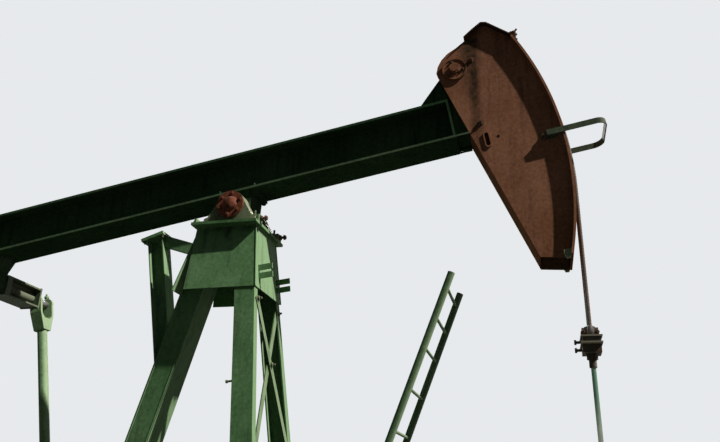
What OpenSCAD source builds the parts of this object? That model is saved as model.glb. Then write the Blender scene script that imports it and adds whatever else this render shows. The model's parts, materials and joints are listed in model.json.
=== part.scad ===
/* [Layout] */
// Height of the saddle bearing above the ground
pivot_h = 4100; // [3900:10:4400]
// Tilt of the walking beam at rest, head up
beam_tilt = 10; // [6:0.5:12]
// Swing of the beam from rest down to its lowest stroke end
swing_down = 30; // [24:0.5:32]
// Distance from the saddle bearing to the tail bearing along the beam
tail_reach = 2700; // [2500:10:2900]
// Drop of the tail bearing below the saddle bearing, square to the beam
tail_drop = 30; // [10:1:60]
// Height of the slow shaft above the ground
shaft_h = 1600; // [1500:10:1700]
// Lean of the pitmans at rest, foot toward the well
pitman_lean = 14; // [10:0.5:16]
// Distance of each pitman from the middle plane
pitman_y = 815; // [790:1:860]

/* [Walking beam] */
// Depth of the beam section
beam_depth = 400; // [360:1:440]
// Width of the beam flanges
beam_w = 340; // [300:1:360]
// Thickness of the beam flanges
beam_flange = 24; // [16:1:30]
// Thickness of the beam web
beam_web = 14; // [10:1:20]
// Height of the beam's underside above the saddle bearing centre
beam_rise = 190; // [180:1:210]
// Room between the beam's front end and the back of the head, at the beam's top
head_room = 46; // [30:1:80]
// Length of beam behind the tail bearing
beam_tail = 230; // [180:1:300]

/* [Horsehead] */
// Radius of the rope track about the saddle bearing
head_r = 2977; // [2950:1:3000]
// Thickness of the curved front plate
front_t = 20; // [12:1:25]
// Width of the curved front plate
front_w = 450; // [430:1:480]
// Width of the head over its side plates
head_w = 340; // [320:1:360]
// Thickness of the head's plates
plate_t = 12; // [8:1:16]
// Height of the top of the rope track above the beam line
track_top = 1052; // [1000:1:1100]
// Drop of the bottom of the rope track below the beam line
track_low = 1100; // [1050:1:1150]
// Diameter of the head pin
head_pin_d = 80; // [60:1:90]

/* [Rope and rod] */
// Diameter of the bridle rope
rope_d = 28; // [20:1:32]
// Spacing of the two rope strands
rope_gap = 150; // [120:1:200]
// Diameter of the polished rod
rod_d = 38; // [32:1:40]
// Diameter of the threaded pin at the rod's lower end
rod_pin_d = 30; // [25:0.1:31]
// Length of that threaded pin
rod_pin_h = 50; // [40:1:60]
// Drop of the carrier bar below the saddle bearing at rest
carrier_drop = 1230; // [1100:10:1400]
// Height of the polished rod's lower end above the ground at rest
rod_end = 1650; // [1640:10:1800]

/* [Samson post] */
// Width of the front leg channels
leg_w = 180; // [170:1:220]
// Depth of the front leg channels
leg_flange = 75; // [60:1:90]
// Wall thickness of the leg channels
leg_t = 12; // [8:1:16]
// Half distance between the front leg webs, at the bearing's height
leg_y = 213; // [205:1:230]
// Sideways lean of each front leg
side_lean = 6.8; // [6:0.1:7.5]
// Forward lean of the front leg frame
front_lean = 6.7; // [6:0.1:7.5]
// Backward lean of the rear leg
rear_lean = 15.1; // [14:0.1:16]
// Depth of the rear leg section
rear_d = 205; // [190:1:220]
// Flange width of the rear leg section
rear_w = 250; // [220:1:260]
// Height of the cap box
cap_h = 580; // [540:1:660]

/* [Saddle bearing] */
// Diameter of the cross shaft
saddle_shaft_d = 110; // [90:1:120]
// Outer radius of the bearing housings
housing_r = 130; // [120:1:140]
// Width of each bearing housing
housing_w = 120; // [100:1:130]
// Distance between the housings and the saddle block
housing_gap = 40; // [30:1:60]
// Drop from the bearing centre to the top plate
top_drop = 165; // [160:1:175]

/* [Drive] */
// Diameter of the slow shaft
slow_shaft_d = 170; // [150:1:180]
// Thickness of each crank
crank_t = 130; // [110:1:140]
// Width of the gear reducer housing
reducer_w = 800; // [760:1:820]
// Diameter of the pitman pipe
pitman_d = 100; // [95:1:125]
// Width of the pitman's lower bearing
pitman_foot_w = 200; // [180:1:210]

/* [Base] */
// Height of the skid beams
skid_h = 300; // [280:1:320]
// Half distance between the skid rails
skid_y = 380; // [370:1:390]
// Flange width of the skid beams
skid_w = 150; // [130:1:160]

/* [Ladder] */
// Width of the ladder between rail centres
ladder_w = 620; // [560:1:640]
// Diameter of the ladder rails
ladder_rail_d = 58; // [42:1:61]
// Lean of the ladder toward the well
ladder_lean = 21.1; // [19:0.1:22]

/* [Hidden] */
$fn = 64;
seat_gap = 0.3;
run_gap = 0.05;
rope_r = head_r + rope_d / 2;
saddle_half = 150;
housing_y = saddle_half + housing_gap;
cover_y = housing_y + housing_w + seat_gap;
cover_t = 20;
top_t = 25;
top_under = top_drop + top_t;
foot_t = 20;
foot_z = skid_h + foot_t;
far = 6000;
leg_x0 = 22;
rear_x0 = 276;

// Tail bearing at rest, crank centre and crank radius from the two stroke ends
function tail_x(tilt) = -tail_reach * cos(tilt) + tail_drop * sin(tilt);
function tail_z(tilt) = pivot_h - tail_reach * sin(tilt) - tail_drop * cos(tilt);
t0x = tail_x(beam_tilt);
t0z = tail_z(beam_tilt);
t1x = tail_x(beam_tilt - swing_down);
t1z = tail_z(beam_tilt - swing_down);
reach_short = (t0z - shaft_h) / cos(pitman_lean);
shaft_x = t0x + reach_short * sin(pitman_lean);
reach_long = norm([t1x - shaft_x, t1z - shaft_h]);
crank_r = (reach_long - reach_short) / 2;
pitman_len = (reach_long + reach_short) / 2;

pitman_foot_y = pitman_y - pitman_foot_w / 2;
crank_out = pitman_foot_y - 10;
pass_gap = 5;
crank_pin_r = 60;
crank_in = crank_out - crank_t;

// Extrudes an outline drawn in x and z from y0 over thickness t
module upright(y0, t) { translate([0, y0 + t, 0]) rotate([90, 0, 0]) linear_extrude(t) children(); }

// A disc or bar of radius r along y
module along_y(y0, y1, r) { translate([0, y1, 0]) rotate([90, 0, 0]) cylinder(r = r, h = y1 - y0); }

module mirrored_y() { children(); mirror([0, 1, 0]) children(); }

// Frame of the walking beam, along its own axis from the saddle bearing
module in_beam() { translate([0, 0, pivot_h]) rotate([0, -beam_tilt, 0]) children(); }

// Frame of the leaning plane that holds both front legs
module in_front() { translate([0, 0, pivot_h]) rotate([0, -front_lean, 0]) children(); }

// Frame of one side of the front legs, with the web's outer face at y = 0
module in_side() { in_front() translate([0, -leg_y, 0]) rotate([-side_lean, 0, 0]) children(); }

module in_rear() { translate([0, 0, pivot_h]) rotate([0, rear_lean, 0]) children(); }

module slab(z0, z1) { translate([-far, -far, z0]) cube([2 * far, 2 * far, z1 - z0]); }

// Outline of a wide-flange section, depth along x and width along y
module section(depth, width, flange, web) {
    for (x = [0, depth - flange]) translate([x, -width / 2]) square([flange, width]);
    translate([0, -web / 2]) square([depth, web]);
}

// A wide-flange bar from x0 to x1 along x, standing on z = 0
module bar_x(x0, x1, height, width, flange, web) {
    translate([x0, 0, 0]) cube_centred_y(x1 - x0, width, flange);
    translate([x0, 0, height - flange]) cube_centred_y(x1 - x0, width, flange);
    translate([x0, 0, 0]) cube_centred_y(x1 - x0, web, height);
}

module cube_centred_y(length, width, height) { translate([0, -width / 2, 0]) cube([length, width, height]); }

skid_flange = 16;
skid_web = 10;
skid_back = -4700;
skid_front = 900;

module skid_rail(side) {
    color("darkslategray") translate([0, side * skid_y, 0])
        bar_x(skid_back, skid_front, skid_h, skid_w, skid_flange, skid_web);
}

front_foot_x = (leg_x0 + leg_w / 2) / cos(front_lean) + (pivot_h - skid_h) * tan(front_lean);
front_foot_y = leg_y + (pivot_h - skid_h) / cos(front_lean) * tan(side_lean);
rear_foot_x = -(rear_x0 - rear_d / 2) / cos(rear_lean) - (pivot_h - skid_h) * tan(rear_lean);
cross_w = 200;
stand_x0 = shaft_x - 720;
stand_x1 = shaft_x + 380;
motor_back = 1950;
motor_x = shaft_x - motor_back;
ladder_foot_x = 782;

// A crossbeam with its flanges cut back to clear the rail flanges
module crossbeam(x) {
    inner = skid_y - skid_w / 2;
    web_end = skid_y - skid_web / 2;
    translate([x, 0, 0]) rotate([0, 0, 90]) {
        bar_x(-inner, inner, skid_h, skid_w, skid_flange, skid_web);
        translate([-web_end, 0, skid_flange]) cube_centred_y(2 * web_end, skid_web, skid_h - 2 * skid_flange);
    }
}

module outrigger(x) {
    outer = skid_y + skid_w / 2;
    end = front_foot_y + 130;
    translate([x, 0, 0]) rotate([0, 0, 90]) bar_x(outer, end, skid_h, cross_w, skid_flange, skid_web);
    translate([x, 0, skid_flange]) rotate([0, 0, 90]) translate([skid_y + skid_web / 2, 0, 0])
        cube_centred_y(skid_w / 2, skid_web, skid_h - 2 * skid_flange);
}

module skid_crossbeams() {
    color("darkslategray") {
        for (x = [ladder_foot_x, front_foot_x, 0, rear_foot_x, stand_x1 - 100, stand_x0 + 100,
                motor_x + 200, motor_x - 250]) crossbeam(x);
        mirrored_y() outrigger(front_foot_x);
    }
}

module leg_channel() {
    translate([leg_x0, 0, -far]) linear_extrude(far) {
        square([leg_w, leg_t]);
        for (x = [0, leg_w - leg_t]) translate([x, 0]) square([leg_t, leg_flange]);
    }
}

module front_leg() {
    color("darkslategray") {
        intersection() {
            in_side() leg_channel();
            slab(foot_z - 1, pivot_h - top_under);
        }
        translate([front_foot_x - 150, -front_foot_y - 90, skid_h]) cube([300, 220, foot_t]);
    }
}

brace_w = 60;
brace_t = 10;
spacer_r = 22;
brace_z = [800, 2350, 3700];
brace_room = 100;

// Half width to the middle of the leg flange at depth d below the bearing
function brace_y(d) = leg_y + d * tan(side_lean) - leg_flange * 0.75;

module brace_bar(y0, d0, y1, d1, x) {
    run = [y1 - y0, d0 - d1];
    length = norm(run);
    translate([x, y0, -d0]) rotate([atan2(run[1], run[0]), 0, 0]) translate([0, -20, -brace_w / 2])
        cube([brace_t, length + 40, brace_w]);
}

module leg_bracing() {
    outer_x = leg_x0 + leg_w + seat_gap;
    inner_x = leg_x0 + leg_w - leg_t - brace_t - seat_gap;
    color("darkslategray") in_front() {
        for (i = [0, 1]) {
            a = brace_z[i] + brace_room;
            b = brace_z[i + 1] - brace_room;
            cross_d = a + (b - a) * brace_y(a) / (brace_y(a) + brace_y(b));
            brace_bar(-brace_y(a), a, brace_y(b), b, outer_x);
            brace_bar(-brace_y(b), b, brace_y(a), a, inner_x);
            translate([inner_x + brace_t + seat_gap, 0, -cross_d]) rotate([0, 90, 0])
                cylinder(r = spacer_r, h = leg_t + seat_gap + 1);
        }
        brace_bar(-brace_y(brace_z[1]), brace_z[1], brace_y(brace_z[1]), brace_z[1], outer_x);
    }
}

cap_t = 12;
cap_rear_top = -330;
cap_rear_low = -490;
cap_lug = [130, 12, 50];
cap_lug_z = [55, 130];
cap_floor = pivot_h - top_under - cap_h;

// The space between the outer faces of the two leg webs, grown by a little
module between_legs(grow) {
    intersection_for (s = [0, 1]) mirror([0, s, 0]) in_side() translate([-far, -grow, -far])
        cube([2 * far, 2 * far, 2 * far]);
}

module cap_side() {
    low = -cap_h - top_under - 200;
    x1 = leg_x0 + leg_w + cap_t;
    in_side() upright(-cap_t, cap_t) polygon([[cap_rear_top, 0], [x1, 0], [x1, low], [cap_rear_low, low]]);
}

// The front plate, and two plates that close the back up to the rear leg
module cap_ends() {
    in_front() translate([leg_x0 + leg_w, -far, -far]) cube([cap_t, 2 * far, 2 * far]);
    difference() {
        translate([cap_rear_top + 6, -far, pivot_h - top_under]) rotate([0, atan((cap_rear_top - cap_rear_low) / cap_h), 0])
            translate([0, 0, -far]) cube([cap_t, 2 * far, far + 100]);
        in_rear() translate([-rear_x0 - 1, -rear_w / 2 - 1, -far]) cube([rear_d + 2, rear_w + 2, 2 * far]);
    }
}

module cap_box() {
    color("darkslategray") {
        intersection() {
            union() {
                mirrored_y() cap_side();
                intersection() {
                    cap_ends();
                    between_legs(1);
                }
            }
            slab(cap_floor, pivot_h - top_under);
        }
        mirrored_y() for (z = cap_lug_z) in_front()
            translate([leg_x0 + leg_w + cap_t - 1, leg_y + 10, -top_under - cap_h + z]) cube(cap_lug);
    }
}

plate_x0 = -345;
plate_x1 = 275;
plate_half = 350;
foot_x = 215;
foot_half = 245;
foot_h = 40;
foot_bolt_d = 26;
lug_t = 20;
lug_h = 60;
screw_d = 24;
screw_out = 62;

module foot_bolts() {
    for (x = [-foot_x, foot_x], y = [-1, 1]) translate([x, y * (housing_y + housing_w / 2), 0])
        cylinder(d = foot_bolt_d, h = far);
}

// Plate with four lugs, each with the jack screw that sets a bearing housing
module top_plate() {
    screw_y = housing_y + housing_w / 2;
    screw_z = pivot_h - top_drop + lug_h * 0.55;
    color("darkslategray") {
        difference() {
            translate([plate_x0, 0, pivot_h - top_under]) cube_centred_y(plate_x1 - plate_x0, 2 * plate_half, top_t);
            foot_bolts();
        }
        mirrored_y() for (x = [plate_x0, plate_x1 - lug_t])
            translate([x, screw_y - 45, pivot_h - top_drop - 1]) cube([lug_t, 90, lug_h + 1]);
        mirrored_y() {
            translate([foot_half + seat_gap, screw_y, screw_z]) rotate([0, 90, 0])
                cylinder(d = screw_d, h = plate_x1 + screw_out - foot_half - seat_gap);
            translate([plate_x0 - 16, screw_y, screw_z]) rotate([0, 90, 0])
                cylinder(d = screw_d, h = -foot_half - seat_gap - plate_x0 + 16);
        }
    }
}

module rear_leg() {
    color("darkslategray") {
        intersection() {
            in_rear() translate([-rear_x0, 0, -far]) linear_extrude(2 * far) section(rear_d, rear_w, 14, 10);
            slab(foot_z - 1, pivot_h - top_under);
        }
        translate([rear_foot_x - 170, -150, skid_h]) cube([340, 300, foot_t]);
    }
}

post_lean = 11.6;
post_x = -850;
post_d = 150;
post_h = 1400;
rest_drop = 171;
rest_lean = 19;
rest_t = 30;
rest_size = [224, 274, rest_t];
strut = [600, 80, 100];
strut_drop = 175;
strut_lean = 18;

module in_rest() { translate([post_x, 0, pivot_h - rest_drop]) rotate([0, -rest_lean, 0]) children(); }

module behind_rear() { in_rear() translate([-rear_x0 - far, -far, -far]) cube([far, 2 * far, 2 * far]); }

module rear_post() {
    color("darkslategray") intersection() {
        behind_rear();
        difference() {
            union() {
                translate([post_x, 0, pivot_h - rest_drop]) rotate([0, -post_lean, 0])
                    translate([-post_d / 2, 0, -post_h]) linear_extrude(post_h + 200) section(post_d, post_d, 10, 8);
                translate([post_x, -strut[1] / 2, pivot_h - strut_drop - strut[2] / 2]) rotate([0, strut_lean, 0])
                    cube(strut);
            }
            in_rest() translate([-far, -far, -rest_t]) cube(2 * far);
        }
    }
}

module beam_rest() {
    color("darkslategray") in_rest() translate([-rest_size[0] / 2, -rest_size[1] / 2, -rest_t]) cube(rest_size);
}

module bearing_housing() {
    color("seagreen") translate([0, 0, pivot_h]) difference() {
        union() {
            along_y(housing_y, housing_y + housing_w, housing_r);
            upright(housing_y, housing_w)
                polygon([[-housing_r + 8, 36], [housing_r - 8, 36], [foot_x - 5, -top_drop + foot_h + 15],
                    [foot_half, -top_drop + foot_h], [foot_half, -top_drop], [-foot_half, -top_drop],
                    [-foot_half, -top_drop + foot_h], [5 - foot_x, -top_drop + foot_h + 15]]);
        }
        along_y(0, far, saddle_shaft_d / 2 + run_gap);
        translate([0, 0, -far]) foot_bolts();
    }
}

module bearing_covers() {
    color("firebrick") translate([0, 0, pivot_h]) mirrored_y() along_y(cover_y, cover_y + cover_t, housing_r - 4);
}

ladder_top = 740;
rung_d = 25;
function ladder_x(drop) = ladder_foot_x + (pivot_h - skid_h - drop) * tan(ladder_lean);
rung_first = 850;
rung_step = 238;
rung_pitch = 310;
rung_low = 200;
// Three close rungs at the top, as photographed, then a wider pitch down to the skid
rung_drops = concat([for (i = [0 : 2]) rung_first + rung_step * i],
    [for (d = rung_first + 2 * rung_step + rung_pitch; d < pivot_h - skid_h - rung_low; d = d + rung_pitch) d]);

module ladder() {
    length = (pivot_h - skid_h - ladder_top) / cos(ladder_lean);
    color("darkslategray") {
        intersection() {
            slab(skid_h, pivot_h);
            mirrored_y() translate([ladder_foot_x, ladder_w / 2, skid_h]) rotate([0, ladder_lean, 0])
                translate([0, 0, -50]) cylinder(d = ladder_rail_d, h = length + 50);
        }
        for (drop = rung_drops) translate([ladder_x(drop), 0, pivot_h - drop])
            along_y(-ladder_w / 2, ladder_w / 2, rung_d / 2);
        mirrored_y() translate([ladder_foot_x - 50, ladder_w / 2 - 60, skid_h]) cube([110, 120, 10]);
    }
}

stay_t = 10;

module ladder_stays() {
    brace_x = leg_x0 + leg_w + seat_gap + brace_t;
    drop = brace_z[1] * cos(front_lean) - brace_x * sin(front_lean);
    x0 = brace_x * cos(front_lean) + brace_z[1] * sin(front_lean) + stay_t / 2 * tan(front_lean) + seat_gap;
    x1 = ladder_x(drop) - ladder_rail_d / 2 / cos(ladder_lean) - stay_t / 2 * tan(ladder_lean) - seat_gap;
    color("darkslategray") mirrored_y() translate([x0, ladder_w / 2 - 25, pivot_h - drop - stay_t / 2])
        cube([x1 - x0, 50, stay_t]);
}

case_floor = 460;
stand_top = shaft_h - case_floor;
stand_half = reducer_w / 2 + 20;
stand_plate = 30;
stand_foot = 20;
stand_web = 15;
stand_in = 40;

// Welded stand: foot and head plates, two long webs and three cross webs
module reducer_stand() {
    length = stand_x1 - stand_x0;
    web_z = skid_h + stand_foot;
    web_h = stand_top - stand_plate - web_z;
    color("darkslategray") {
        for (plate = [[stand_top - stand_plate, stand_plate], [skid_h, stand_foot]])
            translate([stand_x0, 0, plate[0]]) cube_centred_y(length, 2 * stand_half, plate[1]);
        mirrored_y() translate([stand_x0 + stand_in, stand_half - stand_in - stand_web, web_z - 1])
            cube([length - 2 * stand_in, stand_web, web_h + 2]);
        for (x = [stand_x0 + 2 * stand_in, (stand_x0 + stand_x1) / 2, stand_x1 - 2 * stand_in])
            translate([x, 0, web_z - 1]) cube_centred_y(stand_web, 2 * (stand_half - stand_in - 1), web_h + 2);
    }
}

input_dx = 520;
input_dz = 60;
input_r = 35;
case_low = [[-690, -420], [350, -420], [372, 0], [-702, 0]];
case_high = [[-702, 0], [372, 0], [352, 130], [220, 330], [-120, 380], [-560, 300], [-690, 180]];
case_foot = [[-720, -case_floor], [380, -case_floor], [380, -420], [-720, -420]];
case_joint = [[-725, -18], [395, -18], [395, 18], [-725, 18]];
case_lid = [[-95, 372], [195, 329], [199, 355], [-91, 398]];
case_ribs = [-600, -330, -60, 210];
rib_t = 22;
lid_half = 190;
slow_boss_r = 175;
input_boss_r = 100;
breather = [-420, 0, 310];
breather_d = 60;
breather_h = 90;

module case_layer(outline, half) { upright(-half, 2 * half) polygon(outline); }

// Cast housing in two halves, bolted along the joint, with ribs below it and bosses for both shafts
module gear_reducer() {
    half = reducer_w / 2;
    color("darkolivegreen") translate([shaft_x, 0, shaft_h]) difference() {
        union() {
            case_layer(case_low, half);
            case_layer(case_high, half - 6);
            case_layer(case_foot, half + 20);
            case_layer(case_joint, half + 22);
            case_layer(case_lid, lid_half);
            for (x = case_ribs) translate([x, 0, 30 - case_floor]) cube_centred_y(rib_t, 2 * half + 36, case_floor - 40);
            along_y(-half - 40, half + 40, slow_boss_r);
            translate([-input_dx, 0, input_dz]) along_y(-half - 30, half + 30, input_boss_r);
            translate(breather) cylinder(d = breather_d, h = breather_h);
        }
        along_y(-far, far, slow_shaft_d / 2 + run_gap);
        translate([-input_dx, 0, input_dz]) along_y(-far, far, input_r + seat_gap);
    }
}

guard_in = reducer_w / 2 + 60;
guard_out = guard_in + 80;

module at_input() { translate([shaft_x - input_dx, 0, shaft_h + input_dz]) children(); }

module input_shaft() { color("gray") at_input() along_y(-guard_in - 60, guard_in + 60, input_r); }

drum_r = 200;
drum_w = 90;
drum_wall = 20;
drum_hub_r = 70;

module brake_drum() {
    y0 = guard_in - 10;
    color("darkolivegreen") at_input() difference() {
        along_y(y0, y0 + drum_w, drum_r);
        difference() {
            along_y(y0 + drum_w / 3, far, drum_r - drum_wall);
            along_y(0, y0 + drum_w * 0.7, drum_hub_r);
        }
        along_y(0, far, input_r + seat_gap);
    }
}

base_h = 80;
base_w = 80;
base_x = [-230, 150];
motor_r = 220;
motor_half = 330;
motor_shaft_r = 28;
motor_axis_h = 280;
motor_z = skid_h + base_h + motor_axis_h;
bell_w = 60;
cowl_w = 80;
nose_r = 110;
fin_count = 24;
fin = [42, 2 * motor_half - 100, 8];
foot_w = 80;
foot_web = 40;
foot_web_h = 200;
terminal_box = [110, 180, 150];

// Two slide rails that take up the belts
module motor_base() {
    color("darkslategray") for (x = base_x)
        translate([motor_x + x, 0, skid_h]) cube_centred_y(base_w, 2 * skid_y + 120, base_h);
}

// Finned motor with end bells, fan cowl, feet, terminal box and shaft
module motor() {
    color("slategray") {
        translate([motor_x, 0, motor_z]) {
            along_y(40 - motor_half, motor_half - 40, motor_r - 20);
            mirrored_y() along_y(motor_half - bell_w, motor_half, motor_r);
            along_y(motor_half - 1, motor_half + cowl_w, motor_r - 15);
            along_y(-motor_half - 30, 1 - motor_half, nose_r);
            along_y(-guard_in - 60, -motor_half, motor_shaft_r);
            for (i = [0 : fin_count - 1]) rotate([0, 360 * i / fin_count, 0])
                translate([motor_r - 45, 0, -fin[2] / 2]) cube_centred_y(fin[0], fin[1], fin[2]);
            translate([motor_r - 50, -terminal_box[1] / 2, 20]) cube(terminal_box);
        }
        for (x = base_x) translate([motor_x + x, 0, skid_h + base_h]) {
            cube_centred_y(foot_w, 2 * motor_half - 80, 25);
            translate([(x < 0 ? foot_w - foot_web : 0), 0, 0]) cube_centred_y(foot_web, 2 * motor_half - 80, foot_web_h);
        }
    }
}

sheave_r = 150;
pulley_r = 330;

// Cover of the belt drive: two round ends and the straight part between them
module belt_guard() {
    a = [motor_x, motor_z];
    b = [shaft_x - input_dx, shaft_h + input_dz];
    turn = atan2(b[1] - a[1], b[0] - a[0]);
    off = acos((sheave_r - pulley_r) / norm(b - a));
    side = [cos(turn + off), sin(turn + off)];
    other = [cos(turn - off), sin(turn - off)];
    color("gold") difference() {
        union() {
            translate([a[0], 0, a[1]]) along_y(-guard_out, -guard_in, sheave_r);
            translate([b[0], 0, b[1]]) along_y(-guard_out - 4, -guard_in, pulley_r);
            upright(2 - guard_out, guard_out - guard_in - 4)
                polygon([a + (sheave_r - 2) * side, b + (pulley_r - 2) * side,
                    b + (pulley_r - 2) * other, a + (sheave_r - 2) * other]);
        }
        at_input() along_y(-guard_in - 61, far, input_r + seat_gap);
        translate([motor_x, 0, motor_z]) along_y(-guard_in - 61, far, motor_shaft_r + seat_gap);
    }
}

// Head outline in the beam frame, as distances back from the rope track and heights above the beam line
function from_track(back, height) = [head_r - back, height];
back_top = from_track(921, 807);
back_low = from_track(462, -1055);
head_pin = from_track(767, 875);
back_slope = (back_low[0] - back_top[0]) / (back_top[1] - back_low[1]);
function back_x(w) = back_top[0] + (back_top[1] - w) * back_slope;
beam_top = beam_rise + beam_depth;
beam_front = back_x(beam_top) - head_room;
stiffener_t = 12;

module walking_beam() {
    color("darkslategray") in_beam() translate([0, 0, beam_rise]) {
        bar_x(-tail_reach - beam_tail, beam_front, beam_depth, beam_w, beam_flange, beam_web);
        translate([-tail_reach - stiffener_t / 2, 0, 1]) cube_centred_y(stiffener_t, beam_w - 20, beam_depth - 2);
    }
}

saddle_boss_r = 105;
saddle_foot = 200;
saddle_foot_h = 40;

module saddle_block() {
    color("darkslategray") in_beam() difference() {
        union() {
            along_y(-saddle_half, saddle_half, saddle_boss_r);
            upright(10 - saddle_half, 2 * saddle_half - 20)
                polygon([[-saddle_boss_r, 0], [saddle_boss_r, 0], [saddle_foot - 60, beam_rise - saddle_foot_h],
                    [saddle_foot, beam_rise - saddle_foot_h], [saddle_foot, beam_rise], [-saddle_foot, beam_rise],
                    [-saddle_foot, beam_rise - saddle_foot_h], [60 - saddle_foot, beam_rise - saddle_foot_h]]);
        }
        along_y(-far, far, saddle_shaft_d / 2 + seat_gap);
    }
}

module cross_shaft() {
    end = housing_y + housing_w - 5;
    color("gray") translate([0, 0, pivot_h]) along_y(-end, end, saddle_shaft_d / 2);
}

track_a1 = asin(track_top / head_r);
track_a0 = -asin(track_low / head_r);
function on_track(r, a) = r * [cos(a), sin(a)];
inner_w = head_w - 2 * plate_t;
peak_t = 12;
track_out = [cos(track_a1), sin(track_a1)];
track_up = [-sin(track_a1), cos(track_a1)];
// Underside of the cover plate: from the rounded corner over the peak and down to the top of the track
cover_line = [from_track(613, 1158), from_track(531, 1212), from_track(437, 1265), from_track(395, 1252),
    (head_r - front_t / 2) * track_out + seat_gap * track_up];
head_corner = [from_track(711, 1102), from_track(796, 1067), from_track(864, 1014), from_track(910, 952),
    from_track(937, 885), from_track(930, 835), back_top];
bottom_front = from_track(235, -1112);
bottom_run = 208;
rope_end_a = track_a1 - 0.6;

// A line of points moved sideways by d, to the left of its direction
function left_of(a, b) = [a[1] - b[1], b[0] - a[0]] / norm(b - a);
function moved(line, d) = [for (i = [0 : len(line) - 1])
    let (n = left_of(line[max(i - 1, 0)], line[max(i, 1)]),
        m = left_of(line[min(i, len(line) - 2)], line[min(i + 1, len(line) - 1)]))
    line[i] + d * (n + m) / (1 + n * m)];
function reversed(line) = [for (i = [len(line) - 1 : -1 : 0]) line[i]];

module head_outline() {
    r = head_r - front_t - seat_gap;
    intersection() {
        circle(r = r, $fn = 720);
        polygon(concat([back_low, bottom_front, on_track(r + 200, track_a0), on_track(r + 300, 0)],
            [on_track(r + 100, track_a1 - 1)], reversed(moved(cover_line, -seat_gap)), head_corner));
    }
}

module head_side(y0) {
    color("saddlebrown") in_beam() difference() {
        upright(y0, plate_t) head_outline();
        translate([head_pin[0], 0, head_pin[1]]) along_y(-far, far, head_pin_d / 2 + seat_gap);
    }
}

// The track plate
module head_front() {
    color("saddlebrown") in_beam() upright(-front_w / 2, front_w) intersection() {
        difference() {
            circle(r = head_r, $fn = 720);
            circle(r = head_r - front_t, $fn = 720);
        }
        polygon([[0, 0], on_track(2 * head_r, track_a0), on_track(3 * head_r, 0), on_track(2 * head_r, track_a1)]);
    }
}

module head_back() {
    top_w = 560;
    low = back_low + [-16 * back_slope, 16];
    color("saddlebrown") in_beam() upright(-inner_w / 2, inner_w)
        polygon([[back_x(top_w), top_w], [back_x(top_w) + plate_t, top_w], low + [plate_t, 0], low]);
}

// Cover plate over the top of the head, as wide as the track plate, and the plate that closes its bottom
module head_ends() {
    run = (bottom_front - back_low) / norm(bottom_front - back_low);
    rise = left_of(back_low, bottom_front);
    low = back_low + 14 * run + 2 * rise;
    color("saddlebrown") in_beam() {
        upright(-front_w / 2, front_w) polygon(concat(cover_line, reversed(moved(cover_line, peak_t))));
        upright(-inner_w / 2, inner_w)
            polygon([low, low + bottom_run * run, low + bottom_run * run + plate_t * rise, low + plate_t * rise]);
    }
}

hanger_y = 100;
hanger_t = 30;
hanger_back = 250;
hanger_eye_r = 78;
toe_h = 120;

// End plate of the beam, the two cheeks that carry the head pin, and the toe the head's back bears on
module head_hanger() {
    color("darkslategray") in_beam() {
        translate([beam_front, -beam_w / 2, beam_rise]) cube([20, beam_w, beam_depth]);
        mirrored_y() difference() {
            union() {
                upright(hanger_y, hanger_t)
                    polygon([[beam_front - hanger_back, beam_top], [beam_front + 19, beam_top], [beam_front + 19, beam_rise],
                        [back_x(beam_rise) - seat_gap, beam_rise], [back_x(beam_top) - seat_gap, beam_top],
                        head_pin + [55, -50], head_pin + [20, 75], head_pin + [-60, 60]]);
                translate([head_pin[0], 0, head_pin[1]]) along_y(hanger_y - 4, hanger_y + hanger_t + 4, hanger_eye_r);
            }
            translate([head_pin[0], 0, head_pin[1]]) along_y(-far, far, head_pin_d / 2 + seat_gap);
        }
        upright(-hanger_y - 20, 2 * hanger_y + 40)
            polygon([[beam_front + 20, beam_rise + 20], [back_x(beam_rise + 20) - seat_gap, beam_rise + 20],
                [back_x(beam_rise + toe_h) - seat_gap, beam_rise + toe_h], [beam_front + 20, beam_rise + toe_h]]);
    }
}

pin_disc_r = 112;
pin_boss_r = 52;

module head_pin() {
    color("sienna") in_beam() translate([head_pin[0], 0, head_pin[1]]) {
        along_y(-head_w / 2 - 48, head_w / 2 + 48, head_pin_d / 2);
        mirrored_y() difference() {
            union() {
                along_y(head_w / 2 + seat_gap, head_w / 2 + 22, pin_disc_r);
                along_y(head_w / 2 + seat_gap, head_w / 2 + 34, pin_boss_r);
            }
            difference() {
                along_y(head_w / 2 + 14, far, pin_disc_r - 12);
                along_y(0, far, pin_boss_r);
            }
        }
    }
}

hoop_in = head_r - 127;
hoop_out = head_r + 343;
hoop_w = -15;
hoop_h = 50;
hoop_t = 10;
hoop_r = 80;
clip_h = 70;

module hoop_outline(grow) {
    w = front_w / 2 + grow;
    translate([hoop_in - 200, -w]) square([hoop_out - hoop_in + 200 - hoop_r, 2 * w]);
    translate([hoop_out - hoop_r, -w + hoop_r]) square([hoop_r + grow, 2 * (w - hoop_r)]);
    for (s = [-1, 1]) translate([hoop_out - hoop_r, s * (w - hoop_r - grow)]) circle(hoop_r + grow);
}

// Flat-bar hoop round the front of the rope, on a clip bolted to each side of the head
module rope_guard() {
    color("saddlebrown") in_beam() {
        translate([0, 0, hoop_w - hoop_h / 2]) linear_extrude(hoop_h) intersection() {
            difference() {
                hoop_outline(hoop_t + seat_gap);
                hoop_outline(seat_gap);
            }
            translate([hoop_in + 40, -head_r / 4]) square([hoop_out - hoop_in + 60, head_r / 2]);
        }
        mirrored_y() {
            translate([hoop_in - 20, head_w / 2 + seat_gap, hoop_w - hoop_h / 2])
                cube([80, (front_w - head_w) / 2 + hoop_t, hoop_h]);
            translate([hoop_in - 60, head_w / 2 + seat_gap, hoop_w - clip_h / 2]) cube([110, 10, clip_h]);
        }
    }
}

anchor_side = 45;

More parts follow.
